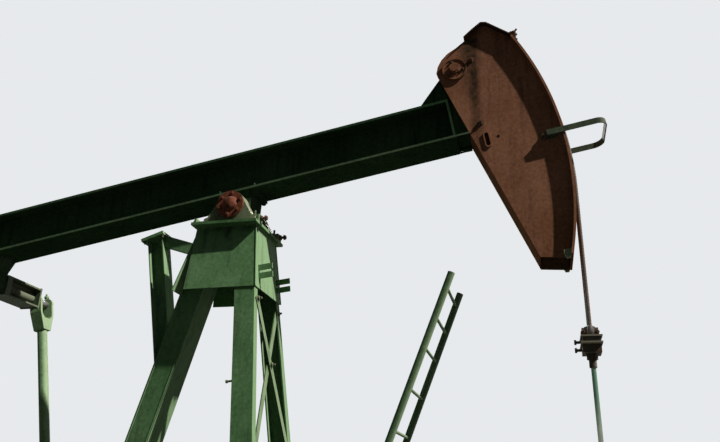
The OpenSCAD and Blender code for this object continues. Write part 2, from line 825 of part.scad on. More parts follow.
// Block clamped over the top end of the track plate, which holds both rope ends
module rope_anchor() {
    low = cover_line[4];
    run = (low - cover_line[3]) / norm(low - cover_line[3]);
    rise = left_of(cover_line[3], low);
    front = on_track(head_r + rope_d + 10, rope_end_a);
    color("saddlebrown") in_beam() upright(-rope_gap / 2 - anchor_side, rope_gap + 2 * anchor_side)
        polygon([on_track(head_r + seat_gap, rope_end_a), front, front + 88 * track_up,
            low - 60 * run + (peak_t + 46) * rise, low - 100 * run + (peak_t + 28) * rise,
            low - 100 * run + (peak_t + seat_gap) * rise, low + (peak_t + seat_gap) * rise,
            (head_r + seat_gap) * track_out]);
}

module head_rope() {
    a0 = -beam_tilt;
    a1 = rope_end_a - 0.006;
    color("dimgray") in_beam() mirrored_y() translate([0, rope_gap / 2, 0]) rotate([90, 0, 0]) rotate([0, 0, a0])
        rotate_extrude(angle = a1 - a0, $fn = 720) translate([rope_r + seat_gap, 0]) circle(d = rope_d, $fn = 16);
}

module hanging_rope() {
    color("dimgray") mirrored_y() translate([rope_r + seat_gap, rope_gap / 2, pivot_h - carrier_drop])
        cylinder(d = rope_d, h = carrier_drop - 0.5);
}

carrier_y = rope_gap / 2 + 65;
carrier_half = 80;
carrier_plate = 12;
carrier_web = 38;
block_h = 62;
block_w = 170;
collar_h = 42;
collar_d = 84;
nut_h = 62;
nut_d = 58;
clamp_h = 86;
clamp_ears = [124, 48, 70];

module rod_bore() { translate([0, 0, -far / 2]) cylinder(d = rod_d + 2 * seat_gap, h = far); }

// Carrier bar of two plates on a web, with the load block, collar and lock nut under it
module carrier_bar() {
    block_z = -2 * carrier_plate - carrier_web - block_h;
    color("sienna") translate([rope_r + seat_gap, 0, pivot_h - carrier_drop]) difference() {
        union() {
            for (z = [-carrier_plate, -2 * carrier_plate - carrier_web])
                translate([-carrier_half, -carrier_y, z]) cube([2 * carrier_half, 2 * carrier_y, carrier_plate]);
            translate([15 - carrier_half, 10 - carrier_y, -carrier_plate - carrier_web - 1])
                cube([2 * carrier_half - 30, 2 * carrier_y - 20, carrier_web + 2]);
            translate([10 - carrier_half, 0, block_z]) cube_centred_y(2 * carrier_half - 20, block_w, block_h + 1);
            translate([0, 0, block_z - collar_h]) cylinder(d = collar_d, h = collar_h + 1);
            translate([0, 0, block_z - collar_h - nut_h]) cylinder(d = nut_d, h = nut_h + 1);
            for (z = [-carrier_plate - carrier_web / 2, block_z + block_h / 2])
                translate([-carrier_half - 45, 0, z]) rotate([0, 90, 0]) {
                    cylinder(d = 22, h = 70);
                    cylinder(d = 40, h = 16, $fn = 6);
                }
        }
        rod_bore();
    }
}

module rod_clamp() {
    color("gray") translate([rope_r + seat_gap, 0, pivot_h - carrier_drop]) difference() {
        union() {
            translate([0, 0, seat_gap]) cylinder(d = collar_d, h = clamp_h);
            translate([-clamp_ears[0] / 2, 0, seat_gap + 8]) cube_centred_y(clamp_ears[0], clamp_ears[1], clamp_ears[2]);
        }
        rod_bore();
    }
}

rod_above = 350;

module polished_rod() {
    top = pivot_h - carrier_drop + rod_above;
    color("silver") translate([rope_r + seat_gap, 0, rod_end]) {
        cylinder(d = rod_pin_d, h = rod_pin_h + 1);
        translate([0, 0, rod_pin_h]) cylinder(d = rod_d, h = top - rod_end - rod_pin_h);
    }
}

module at_tail() { translate([t0x, 0, t0z]) children(); }

tail_half = 110;
tail_shaft_d = 90;
tail_r = 105;
tail_foot = 210;
tail_foot_h = 30;

module tail_bearing() {
    color("darkslategray") in_beam() difference() {
        union() {
            translate([-tail_reach, 0, -tail_drop]) along_y(-tail_half, tail_half, tail_r);
            translate([-tail_reach, 0, 0]) upright(10 - tail_half, 2 * tail_half - 20)
                polygon([[2 - tail_r, -tail_drop], [tail_r - 2, -tail_drop], [tail_r + 25, 60],
                    [tail_foot, beam_rise - tail_foot_h], [tail_foot, beam_rise], [-tail_foot, beam_rise],
                    [-tail_foot, beam_rise - tail_foot_h], [-tail_r - 25, 60]]);
        }
        translate([-tail_reach, 0, -tail_drop]) along_y(-far, far, tail_shaft_d / 2 + run_gap);
    }
}

module equalizer_shaft() {
    color("gray") at_tail() along_y(-tail_half - 90, tail_half + 90, tail_shaft_d / 2);
}

fork_in = 80;
fork_t = 28;
fork_eye_r = 70;
fork_half_x = 62;
fork_len = 320;
fork_base = 190;
fork_arm = 130;
pin_d = 70;
fork_y = pitman_y - fork_in - fork_t;
eq_end = fork_y - 57;
eq_half = 110;
eq_h = 200;
eq_t = 16;
eq_tube_r = 52;
eq_web = 14;
eq_hub = 70;
eq_cap = 20;

// Wide-flange equalizer half: hub block, web, flanges and end plate, with a tube along the web for the pin
module equalizer() {
    y0 = tail_half + 10;
    color("darkslategray") at_tail() mirrored_y() difference() {
        union() {
            for (z = [-eq_h / 2, eq_h / 2 - eq_t]) translate([-eq_half, y0, z]) cube([2 * eq_half, eq_end - y0, eq_t]);
            translate([-eq_web / 2, y0, 1 - eq_h / 2]) cube([eq_web, eq_end - y0, eq_h - 2]);
            translate([-eq_half, y0, 1 - eq_h / 2]) cube([2 * eq_half, eq_hub, eq_h - 2]);
            translate([-eq_half, eq_end - eq_cap, -eq_h / 2 - 8]) cube([2 * eq_half, eq_cap, eq_h + 16]);
            along_y(y0 + 1, fork_y - 34, eq_tube_r);
            along_y(fork_y - 34, fork_y - 6, eq_tube_r + 12);
        }
        along_y(-far, tail_half + 110, tail_shaft_d / 2 + seat_gap);
        along_y(fork_y - 180 - seat_gap, far, pin_d / 2 + seat_gap);
    }
}

module in_pitman() { at_tail() rotate([0, -pitman_lean, 0]) children(); }

// Outline of the fork across the pitman: two prongs that run together into the pipe
module fork_outline() {
    wide = fork_in + fork_t;
    slim = pitman_d / 2 + 8;
    polygon([[-wide, 90], [-wide, -fork_arm], [-slim, -fork_len], [slim, -fork_len], [wide, -fork_arm], [wide, 90],
        [fork_in, 90], [fork_in, -fork_arm - 20], [fork_in / 2, -fork_base], [-fork_in / 2, -fork_base],
        [-fork_in, -fork_arm - 20], [-fork_in, 90]]);
}

module pitman() {
    foot_r = 165;
    fork_end = pitman_y + fork_in + fork_t;
    color("darkslategray") in_pitman() difference() {
        union() {
            intersection() {
                translate([-far, pitman_y, 0]) rotate([90, 0, 90]) linear_extrude(2 * far) fork_outline();
                union() {
                    along_y(fork_y - 1, fork_end + 1, fork_eye_r);
                    upright(fork_y - 2, fork_end - fork_y + 4)
                        polygon([[3 - fork_eye_r, 0], [fork_eye_r - 3, 0], [fork_half_x, -fork_len], [-fork_half_x, -fork_len]]);
                }
            }
            translate([0, pitman_y, foot_r - pitman_len - 5])
                cylinder(d = pitman_d, h = pitman_len - foot_r - fork_len + 25);
            translate([0, 0, -pitman_len]) {
                along_y(pitman_foot_y, pitman_foot_y + pitman_foot_w, foot_r);
                along_y(pitman_foot_y + 22, pitman_foot_y + pitman_foot_w - 22, foot_r + 10);
                translate([0, pitman_y, 0]) cylinder(d = pitman_d + 36, h = foot_r + 70);
                along_y(crank_out + pass_gap, pitman_foot_y + pitman_foot_w + 25, crank_pin_r);
            }
        }
        along_y(0, far, pin_d / 2 + seat_gap);
    }
}

module pitman_pins() {
    color("gray") at_tail() mirrored_y() {
        along_y(fork_y - 180, pitman_y + fork_in + fork_t + 26, pin_d / 2);
        along_y(pitman_y + fork_in + fork_t + seat_gap, pitman_y + fork_in + fork_t + 14, pin_d / 2 + 14);
    }
}

module in_crank() { translate([shaft_x, 0, shaft_h]) rotate([0, -pitman_lean, 0]) children(); }

module slow_shaft() {
    color("gray") in_crank() along_y(-crank_out + 5, crank_out - 5, slow_shaft_d / 2);
}

crank_end = crank_r + 330;
crank_top = 60;
crank_half = 215;
crank_taper = 50;
crank_hub_r = 230;
// Half width of the crank at height z in its own frame
function crank_edge(z) = crank_half - crank_taper * (crank_top - z) / (crank_top + crank_end);
hole_pitch = 160;
pin_hole_r = 45;

// Crank arm on its round hub, with three holes for the pitman's pin
module crank() {
    color("darkolivegreen") in_crank() difference() {
        union() {
            along_y(crank_in - 10, crank_out - 10, crank_hub_r);
            upright(crank_in, crank_t)
                polygon([[-crank_half, crank_top], [crank_half, crank_top], [crank_edge(-crank_end), -crank_end],
                    [-crank_edge(-crank_end), -crank_end]]);
        }
        along_y(-far, far, slow_shaft_d / 2 + seat_gap);
        for (i = [0 : 2]) translate([0, 0, -crank_r + hole_pitch * i]) along_y(-far, far, pin_hole_r);
    }
}

weight_top = 400;
weight_half = [crank_half + 90, crank_half + 150, crank_half + 230, crank_half + 210, crank_half + 160];
weight_z = [weight_top + 20, weight_top + 130, weight_top + 360, crank_end - 100, crank_end + 30];

// Pair of cast weights bolted to the crank's edges, bellied out toward the tip
module weights() {
    inner = crank_edge(-crank_end);
    color("darkolivegreen") in_crank() for (s = [-1, 1])
        upright(crank_in + 5, crank_t - 10) polygon(concat(
            [[s * (crank_edge(-weight_top) + seat_gap), -weight_top]],
            [for (i = [0 : len(weight_z) - 1]) [s * weight_half[i], -weight_z[i]]],
            [[s * (inner + 20), -crank_end - 30], [s * (inner + seat_gap), 6 - crank_end]]));
}

skid_rail(-1);  // skid_rail_near
skid_rail(1);  // skid_rail_far
skid_crossbeams();
front_leg();  // front_leg_near
mirror([0, 1, 0]) front_leg();  // front_leg_far
leg_bracing();
cap_box();
top_plate();
rear_leg();
rear_post();
beam_rest();
mirror([0, 1, 0]) bearing_housing();  // bearing_near
bearing_housing();  // bearing_far
bearing_covers();
ladder();
ladder_stays();
reducer_stand();
gear_reducer();
input_shaft();
brake_drum();
motor_base();
motor();
belt_guard();
walking_beam();
saddle_block();
cross_shaft();
head_hanger();
tail_bearing();
head_side(-head_w / 2);  // head_side_near
head_side(head_w / 2 - plate_t);  // head_side_far
head_front();
head_back();
head_ends();
head_pin();
rope_guard();
rope_anchor();
head_rope();
equalizer();
equalizer_shaft();
mirror([0, 1, 0]) pitman();  // pitman_near
pitman();  // pitman_far
pitman_pins();
slow_shaft();
mirror([0, 1, 0]) crank();  // crank_near
crank();  // crank_far
mirror([0, 1, 0]) weights();  // weights_near
weights();  // weights_far
hanging_rope();
carrier_bar();
rod_clamp();
polished_rod();
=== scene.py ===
"""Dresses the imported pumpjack, a beam pumping unit in weathered green paint, for its render and its export."""
import json

import bpy
import numpy as np
from mathutils import Matrix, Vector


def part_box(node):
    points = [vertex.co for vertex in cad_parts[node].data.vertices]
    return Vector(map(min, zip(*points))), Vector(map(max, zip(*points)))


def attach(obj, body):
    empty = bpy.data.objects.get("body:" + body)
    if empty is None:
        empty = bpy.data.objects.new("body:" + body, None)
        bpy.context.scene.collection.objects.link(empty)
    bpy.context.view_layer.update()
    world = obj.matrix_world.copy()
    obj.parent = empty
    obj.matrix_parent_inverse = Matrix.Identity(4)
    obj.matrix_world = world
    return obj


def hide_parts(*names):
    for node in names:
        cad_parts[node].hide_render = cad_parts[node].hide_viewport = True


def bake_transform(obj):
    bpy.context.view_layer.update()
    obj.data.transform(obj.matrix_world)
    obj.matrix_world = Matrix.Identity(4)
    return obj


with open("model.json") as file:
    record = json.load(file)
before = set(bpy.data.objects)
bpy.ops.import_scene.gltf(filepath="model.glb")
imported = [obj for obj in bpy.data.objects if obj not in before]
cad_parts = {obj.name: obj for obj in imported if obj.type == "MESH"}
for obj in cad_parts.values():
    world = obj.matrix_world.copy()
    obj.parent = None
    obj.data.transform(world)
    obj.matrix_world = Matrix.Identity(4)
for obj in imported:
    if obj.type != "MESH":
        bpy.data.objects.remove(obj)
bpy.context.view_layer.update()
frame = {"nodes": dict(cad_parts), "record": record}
nodes = frame["nodes"]

# Skid: two wide-flange rails with crossbeams between them, and an outrigger under each front leg.
# Rolled steel, welded, brushed with green oil paint that has faded, chalked and taken up dust, and
# held down by studs through the bottom flanges.


def put(tree, kind, sockets=None, **settings):
    """Adds a shader node with its properties, and sets or links each input, by its name or number."""
    node = tree.nodes.new("ShaderNode" + kind)
    for name, value in settings.items():
        setattr(node, name, value)
    for name, value in (sockets or {}).items():
        if isinstance(value, bpy.types.NodeSocket):
            tree.links.new(value, node.inputs[name])
        else:
            node.inputs[name].default_value = value
    return node


def maths(tree, operation, first, second):
    """One Math node: the operation on two numbers or sockets."""
    return put(tree, "Math", {0: first, 1: second}, operation=operation).outputs[0]


def blend_colours(tree, amount, under, over, mode="MIX"):
    """Lays one colour over another, as far as the amount says: inputs 6 and 7 of a Mix node, output 2."""
    return put(tree, "Mix", {"Factor": amount, 6: under, 7: over}, data_type="RGBA", blend_type=mode).outputs[2]


def window(tree, value, low, high, to=1.0):
    """Turns a value into a mask that rises from 0 at low to its full amount at high."""
    return put(tree, "MapRange", {"Value": value, "From Min": low, "From Max": high, "To Max": to}).outputs[0]


def noise(tree, place, scale, detail=4.0, rough=0.55, stretch=(1.0, 1.0, 1.0)):
    """Fractal noise on object coordinates, stretched along the axes."""
    point = put(tree, "Mapping", {"Vector": place, "Scale": stretch}).outputs[0]
    return put(tree, "TexNoise", {"Vector": point, "Scale": scale, "Detail": detail, "Roughness": rough}).outputs[0]


def new_group(name, inputs, outputs):
    """Opens a shader node group: inputs are (name, socket kind, value), outputs (name, socket kind)."""
    group = bpy.data.node_groups.new(name, "ShaderNodeTree")
    for title, kind, value in inputs:
        socket = group.interface.new_socket(title, in_out="INPUT", socket_type="NodeSocket" + kind)
        socket.default_value = value
    for title, kind in outputs:
        group.interface.new_socket(title, in_out="OUTPUT", socket_type="NodeSocket" + kind)
    return group, group.nodes.new("NodeGroupInput").outputs, group.nodes.new("NodeGroupOutput").inputs


def colour(red, green, blue):
    """A colour with its alpha, as the nodes take it."""
    return (red, green, blue, 1.0)


soot_and_shade = colour(0.012, 0.014, 0.009)
road_dust = colour(0.2, 0.19, 0.14)
dark_rust = colour(0.07, 0.024, 0.012)
bright_rust = colour(0.19, 0.07, 0.028)
# Gain and lift of the paler colour painted on faces that point along +X, as painted sunlight.
painted_sun_gain, painted_sun_lift = (1.9, 1.9, 1.9), (0.1, 0.06, 0.07)


def make_old_paint():
    """Old paint: blotches of fading, painted sunlight (a paler copy of the colour on faces that point forward), pale
    chalk streaks, dark runs, dust on what faces up, and chips that rust."""
    group, given, out = new_group("old_paint", [
        ("Paint", "Color", colour(0.1, 0.1, 0.1)), ("Faded", "Color", colour(0.2, 0.2, 0.2)),
        ("Fading", "Float", 0.5), ("Drips", "Float", 0.5), ("Dust", "Float", 0.4), ("Rust", "Float", 0.1),
        ("Painted sun", "Float", 0.6), ("Grime and shade", "Float", 0.0)],
        [("Color", "Color"), ("Roughness", "Float"), ("Normal", "Vector")])
    at = put(group, "TexCoord").outputs
    place, facing = at["Object"], put(group, "SeparateXYZ", {0: at["Normal"]}).outputs
    blotch = window(group, noise(group, place, 1.9, 7.0, 0.64), 0.36, 0.66)
    paint = blend_colours(group, maths(group, "MULTIPLY", blotch, given["Fading"]), given["Paint"], given["Faded"])
    speck = window(group, noise(group, place, 34.0, 4.0, 0.62), 0.3, 0.72)
    speck = put(group, "CombineColor", {"Red": speck, "Green": speck, "Blue": speck}).outputs[0]
    paint = blend_colours(group, 0.3, paint, speck, "SOFT_LIGHT")
    # Painted sunlight: faces that point along +X, toward the key lamp, get a paler copy of the faded colour.
    sunlit_colour = put(group, "VectorMath", {0: given["Faded"], 1: painted_sun_gain, 2: painted_sun_lift}, operation="MULTIPLY_ADD")
    painted_sun_mask = maths(group, "MULTIPLY", window(group, facing[0], 0.35, 0.9), given["Painted sun"])
    paint = blend_colours(group, painted_sun_mask, paint, sunlit_colour.outputs[0])
    chalk = window(group, noise(group, place, 6.0, 6.0, 0.7, (2.6, 2.6, 0.2)), 0.52, 0.74, 0.55)
    paint = blend_colours(group, maths(group, "MULTIPLY", chalk, given["Fading"]), paint, given["Faded"])
    run = window(group, noise(group, place, 8.3, 6.0, 0.68, (2.2, 2.2, 0.14)), 0.5, 0.7)
    paint = blend_colours(group, maths(group, "MULTIPLY", run, given["Drips"]), paint, soot_and_shade)
    # Soot laid on by the dark marks: dirt runs, and on the saddle bearing painted shade as well.
    paint = blend_colours(group, given["Grime and shade"], paint, soot_and_shade)
    dust = maths(group, "MULTIPLY", window(group, facing[2], 0.35, 0.95), given["Dust"])
    dust = maths(group, "MULTIPLY", dust, window(group, noise(group, place, 5.0, 5.0, 0.7), 0.3, 0.6))
    paint = blend_colours(group, dust, paint, road_dust)
    edge = maths(group, "SUBTRACT", 0.76, maths(group, "MULTIPLY", given["Rust"], 0.26))
    rust = window(group, noise(group, place, 10.0, 10.0, 0.74), edge, maths(group, "ADD", edge, 0.035))
    red = window(group, noise(group, place, 52.0, 4.0, 0.6), 0.35, 0.7)
    paint = blend_colours(group, rust, paint, blend_colours(group, red, dark_rust, bright_rust))
    group.links.new(paint, out["Color"])
    wear = maths(group, "ADD", window(group, rust, 0.0, 1.0, 0.22), window(group, blotch, 0.0, 1.0, 0.14))
    group.links.new(wear, out["Roughness"])
    height = maths(group, "SUBTRACT", noise(group, place, 80.0, 4.0, 0.55), rust)
    bump = put(group, "Bump", {"Height": height, "Strength": 0.3, "Distance": 0.002})
    group.links.new(bump.outputs[0], out["Normal"])
    return group


old_paint = make_old_paint()


def painted(name, paint, faded, fading=0.6, drips=0.5, dust=0.5, rust=0.15, rough=0.55, shine=0.03, painted_sun=0.6):
    """A painted finish: the old paint group feeds one Principled shader."""
    finish = bpy.data.materials.new(name)
    finish.use_nodes = True
    tree = finish.node_tree
    coat = tree.nodes["Principled BSDF"].inputs
    coat["Specular IOR Level"].default_value = shine
    wear = put(tree, "Group", {"Paint": colour(*paint), "Faded": colour(*faded), "Fading": fading, "Drips": drips,
                               "Dust": dust, "Rust": rust, "Painted sun": painted_sun}, node_tree=old_paint).outputs
    tree.links.new(wear["Color"], coat["Base Color"])
    tree.links.new(maths(tree, "ADD", wear["Roughness"], rough), coat["Roughness"])
    tree.links.new(wear["Normal"], coat["Normal"])
    return finish


def dress(finish, *names):
    """Puts a finish on every material slot of the named CAD nodes."""
    for name in names:
        for place in nodes[name].material_slots:
            place.material = finish


def unit(vector):
    """A vector over its length."""
    return np.asarray(vector, float) / np.linalg.norm(vector)


def square_axes(axis):
    """Two unit vectors that make a right-handed frame with an axis: guide x axis, and axis x that."""
    guide = (0.0, 0.0, 1.0) if abs(unit(axis)[2]) < 0.9 else (1.0, 0.0, 0.0)
    first = unit(np.cross(guide, unit(axis)))
    return first, np.cross(unit(axis), first)


def turned(profile, spot, axis, around=32, hexed=None, wobble=None):
    """Points of a profile of (radius, height) rows turned about an axis through a spot.

    A point is spot + height * axis + radius * (cos(a) * first + sin(a) * second). In a hexed row the
    radius is that of a hexagon's corner, times cos(30) / cos(a mod 60 - 30). A wobble is a function of
    the row and the angle that scales the radius."""
    first, second = square_axes(axis)
    angle = np.arange(around) * 2 * np.pi / around
    rows = np.asarray(profile, float)
    size = np.repeat(rows[:, :1], around, axis=1)
    if hexed is not None:
        flats = np.cos(np.pi / 6) / np.cos(angle % (np.pi / 3) - np.pi / 6)
        size = np.where(np.asarray(hexed, bool)[:, None], size * flats, size)
    if wobble is not None:
        size = size * wobble(np.arange(len(rows))[:, None], angle[None, :])
    ring = np.cos(angle)[:, None] * first + np.sin(angle)[:, None] * second
    return np.asarray(spot, float) + rows[:, 1][:, None, None] * unit(axis) + size[:, :, None] * ring[None]


def ring_faces(rows, around, start=0):
    """Quads of a closed tube of rows by around points, and one cap at each end."""
    i, j = np.meshgrid(np.arange(rows - 1), np.arange(around), indexing="ij")
    k = (j + 1) % around
    quads = np.stack([i * around + j, i * around + k, (i + 1) * around + k, (i + 1) * around + j], axis=-1)
    faces = (quads.reshape(-1, 4) + start).tolist()
    faces.append(np.arange(start, start + around)[::-1].tolist())
    faces.append(np.arange(start + (rows - 1) * around, start + rows * around).tolist())
    return faces


def new_piece(name, tubes, finish, body=None, smooth=False, bevel=0.0):
    """Makes one mesh object of closed tubes, each an array of rows by points, and lets it ride on a body."""
    faces = []
    start = 0
    for tube in tubes:
        faces += ring_faces(tube.shape[0], tube.shape[1], start)
        start += tube.shape[0] * tube.shape[1]
    mesh = bpy.data.meshes.new(name)
    mesh.from_pydata(np.concatenate([tube.reshape(-1, 3) for tube in tubes]).tolist(), [], faces)
    if finish:
        mesh.materials.append(finish)
    if smooth:
        mesh.shade_smooth()
    else:
        mesh.shade_flat()
    thing = bpy.data.objects.new(name, mesh)
    bpy.context.scene.collection.objects.link(thing)
    if bevel:
        edge = thing.modifiers.new("edge", "BEVEL")
        edge.width = bevel
        edge.segments = 2
    if body:
        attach(thing, body)
    return thing


up = np.array([0.0, 0.0, 1.0])
across_y = np.array([0.0, 1.0, 0.0])


def bolts(name, spots, outward, across, finish, body, stud=0.5):
    """Hex bolts on round washers in one mesh: each is a turned profile with two hexagonal rows in its middle.

    The profile's heights, and the stud's length over 2, count in halves of the width across flats. Without
    an outward direction, a bolt points away from the middle plane of the unit, to the sign of its y."""
    half = across / 2
    corner = half / np.cos(np.pi / 6)
    washer, washer_top, flats_top, head_top = 1.25 * corner, 0.16, 0.95, 1.1
    profile = np.array([(washer, -0.1), (washer, washer_top), (corner, washer_top), (corner, flats_top),
                        (0.9 * half, head_top), (0.5 * half, head_top), (0.5 * half, head_top + 2 * stud)]) * (1, half)
    spots = np.atleast_2d(spots)
    axes = np.sign(spots) * across_y if outward is None else np.broadcast_to(outward, spots.shape)
    heads = [turned(profile, spot, axis, 12, [0, 0, 1, 1, 0, 0, 0]) for spot, axis in zip(spots, axes)]
    return new_piece(name, heads, finish, body)


def grid_of(xs, ys, zs):
    """Every combination of the given coordinates, one row each."""
    return np.stack(np.meshgrid(xs, ys, zs, indexing="ij"), axis=-1).reshape(-1, 3)


joints = frame["record"]["behaviour"]["joints"]
joint_spot = {joint["name"]: np.array(joint["pos_m"]) for joint in joints if "pos_m" in joint}
pivot = joint_spot["beam_rock"]
tail = joint_spot["tail_swing"]
shaft = joint_spot["crank_turn"]

skid_paint = painted("skid_paint", (0.045, 0.1, 0.038), (0.1, 0.17, 0.08), dust=0.9, rust=0.4)
dress(skid_paint, "skid_rail_near", "skid_rail_far", "skid_crossbeams")
bolt_paint = painted("bolt_paint", (0.05, 0.08, 0.04), (0.12, 0.15, 0.085), rust=0.75, rough=0.45)
rusty_bolt = painted("rusty_bolt", (0.06, 0.045, 0.03), (0.16, 0.1, 0.065), rust=0.9, rough=0.5, painted_sun=0.2)

skid_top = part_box("skid_rail_near")[1].z
rail_y, gauge, rail_flange = 0.38, 0.048, 0.016
stud_ys = (-rail_y - gauge, -rail_y + gauge, rail_y - gauge, rail_y + gauge)
hold_down = grid_of(np.linspace(-4.5, 0.75, 8), stud_ys, [rail_flange])
bolts("hold_down_nuts", hold_down, up, 0.036, rusty_bolt, "root", stud=1.6)

# Post: two channel legs with flat X-bracing in front, one wide-flange leg behind that is boxed in by
# side plates, and a welded cap box under the top plate. Steel plate and channel in the same green
# paint, welded all round, with the bracing bolted through the leg flanges.


def leaning(origin, degrees):
    """Gives the function that places points in a frame turned up by some degrees about Y.

    It takes distances along the frame's own X, above it and across it, and returns
    origin + along * (cos, 0, sin) + above * (-sin, 0, cos) + across * (0, 1, 0)."""
    turn = np.radians(degrees)
    along = np.array([np.cos(turn), 0.0, np.sin(turn)])
    above = np.array([-np.sin(turn), 0.0, np.cos(turn)])

    def place(u, w, y):
        u, w, y = np.broadcast_arrays(np.asarray(u, float), np.asarray(w, float), np.asarray(y, float))
        return np.asarray(origin) + u[..., None] * along + w[..., None] * above + y[..., None] * across_y
    return place, along, above


def resampled(path, step):
    """Points at an even step of arc length along a line of corner points."""
    path = np.asarray(path, float)
    length = np.concatenate([[0.0], np.cumsum(np.linalg.norm(np.diff(path, axis=0), axis=1))])
    at = np.linspace(0.0, length[-1], max(3, int(length[-1] / step) + 1))
    return np.stack([np.interp(at, length, path[:, k]) for k in range(3)], axis=1)


def tube_on(path, side, radius, around):
    """Points of a tube: at each path point a ring of the given radius, which may vary with length and angle.

    A ring point is path + radius(s, a) * (cos(a) * flat + sin(a) * third), where third is the path's
    direction crossed with side, and flat is third crossed with the direction."""
    along = np.gradient(path, axis=0)
    along /= np.linalg.norm(along, axis=1)[:, None]
    third = np.cross(along, side)
    third /= np.linalg.norm(third, axis=1)[:, None]
    flat = np.cross(third, along)
    length = np.concatenate([[0.0], np.cumsum(np.linalg.norm(np.diff(path, axis=0), axis=1))])
    angle = np.linspace(0.0, 2 * np.pi, around, endpoint=False)
    size = radius(length[:, None], angle[None, :])
    ring = np.cos(angle)[None, :, None] * flat[:, None] + np.sin(angle)[None, :, None] * third[:, None]
    return path[:, None] + size[:, :, None] * ring


ripple = 0.014


def weld_beads(name, runs, size, finish, body):
    """Weld beads along runs of corner points: tubes whose radius is size * (1 + 0.12 sin(2 pi s / ripple))."""
    tubes = []
    for run in runs:
        path = resampled(run, ripple / 2)
        span = np.abs(np.diff(path, axis=0)).max(axis=0)
        side = np.eye(3)[np.argmin(span)]
        tubes.append(tube_on(path, side, lambda s, a: size * (1 + 0.12 * np.sin(2 * np.pi * s / ripple) + 0 * a), 6))
    return new_piece(name, tubes, finish, body, smooth=True)


def make_run_and_shade_mark():
    """A dark soft band at x = Middle that starts at Top, wavers and fades over Length: a run of dirty water, and on
    the saddle bearing partly painted shade.
    """
    group, given, out = new_group("run_and_shade_mark", [
        ("Middle", "Float", 0.0), ("Half width", "Float", 0.1), ("Top", "Float", 1.0), ("Length", "Float", 1.0)],
        [("Mask", "Float")])
    place = put(group, "TexCoord").outputs["Object"]
    parts = put(group, "SeparateXYZ", {0: place}).outputs
    wander = maths(group, "SUBTRACT", noise(group, place, 9.0, 5.0, 0.7, (1.0, 1.0, 0.5)), 0.5)
    from_middle = maths(group, "SUBTRACT", parts[0], given["Middle"])
    aside = maths(group, "ADD", from_middle, maths(group, "MULTIPLY", wander, 0.09))
    aside = maths(group, "DIVIDE", maths(group, "ABSOLUTE", aside, 0.0), given["Half width"])
    band = window(group, maths(group, "SUBTRACT", 1.0, aside), 0.0, 0.8)
    below = maths(group, "DIVIDE", maths(group, "SUBTRACT", given["Top"], parts[2]), given["Length"])
    fade = maths(group, "SUBTRACT", 1.0, window(group, below, 0.45, 1.0))
    down = maths(group, "MULTIPLY", window(group, below, 0.0, 0.03), fade)
    patches = window(group, noise(group, place, 26.0, 5.0, 0.7), -0.1, 0.6)
    mask = maths(group, "MULTIPLY", maths(group, "MULTIPLY", band, down), patches)
    group.links.new(mask, out["Mask"])
    return group


run_and_shade_mark = make_run_and_shade_mark()


def stain_and_shade(finish, *marks):
    """Adds dark marks to a painted finish, each (middle, half width, top, length, depth), as grime, and on the saddle
    bearing as painted shade too.
    """
    tree = finish.node_tree
    wear = next(node for node in tree.nodes if node.type == "GROUP" and node.node_tree == old_paint)
    total = 0.0
    for middle, half, top, length, depth in marks:
        sizes = {"Middle": middle, "Half width": half, "Top": top, "Length": length}
        mask = put(tree, "Group", sizes, node_tree=run_and_shade_mark).outputs["Mask"]
        total = maths(tree, "MAXIMUM", maths(tree, "MULTIPLY", mask, depth), total)
    tree.links.new(total, wear.inputs["Grime and shade"])


post_paint = painted("post_paint", (0.06, 0.14, 0.052), (0.11, 0.21, 0.094), fading=0.8, drips=0.4, rust=0.15)
dress(post_paint, "front_leg_near", "front_leg_far", "top_plate", "rear_leg")
cap_paint = painted("cap_paint", (0.074, 0.168, 0.062), (0.132, 0.238, 0.112), fading=0.85, drips=0.4, rust=0.12)
# Dark marks on the cap box: a drip from the middle of the top, two short dark bands just under the top plate, and a
# narrow run near its back edge.
stain_and_shade(cap_paint, (-0.02, 0.05, 3.93, 0.2, 0.9), (-0.09, 0.2, 3.93, 0.07, 0.8), (0.15, 0.12, 3.93, 0.09, 0.6),
      (-0.24, 0.03, 3.93, 0.3, 0.5))
dress(cap_paint, "cap_box")
bracing_paint = painted("bracing_paint", (0.055, 0.12, 0.046), (0.12, 0.19, 0.095), fading=0.7, rust=0.25)
dress(bracing_paint, "leg_bracing")

post_lean = 6.7
cos_lean, sin_lean = np.cos(np.radians(post_lean)), np.sin(np.radians(post_lean))
leg_x, leg_w, leg_y, side_slope = 0.022, 0.18, 0.213, np.tan(np.radians(6.8))
on_post, out_front, _ = leaning(pivot, post_lean)
flange_face = leg_x + leg_w
bar_face = flange_face + 0.0103
flange_middle = 0.05625
tie_drop = 2.35
panels = ((0.9, 2.25), (2.45, 3.6))


def brace_y(depth):
    """Distance from the middle plane to where the bracing is bolted, at a depth below the saddle bearing."""
    return leg_y + depth * side_slope - flange_middle


brace_spots = [on_post(bar_face, -tie_drop, sign * brace_y(tie_drop)) for sign in (-1, 1)]
for high, low in panels:
    crossing = high + (low - high) * brace_y(high) / (brace_y(high) + brace_y(low))
    brace_spots += [on_post(bar_face, -high, -brace_y(high)), on_post(bar_face, -low, brace_y(low)),
                    on_post(flange_face, -low, -brace_y(low)), on_post(flange_face, -high, brace_y(high)),
                    on_post(bar_face, -crossing, 0.0)]
bolts("bracing_bolts", brace_spots, out_front, 0.036, bolt_paint, "root")

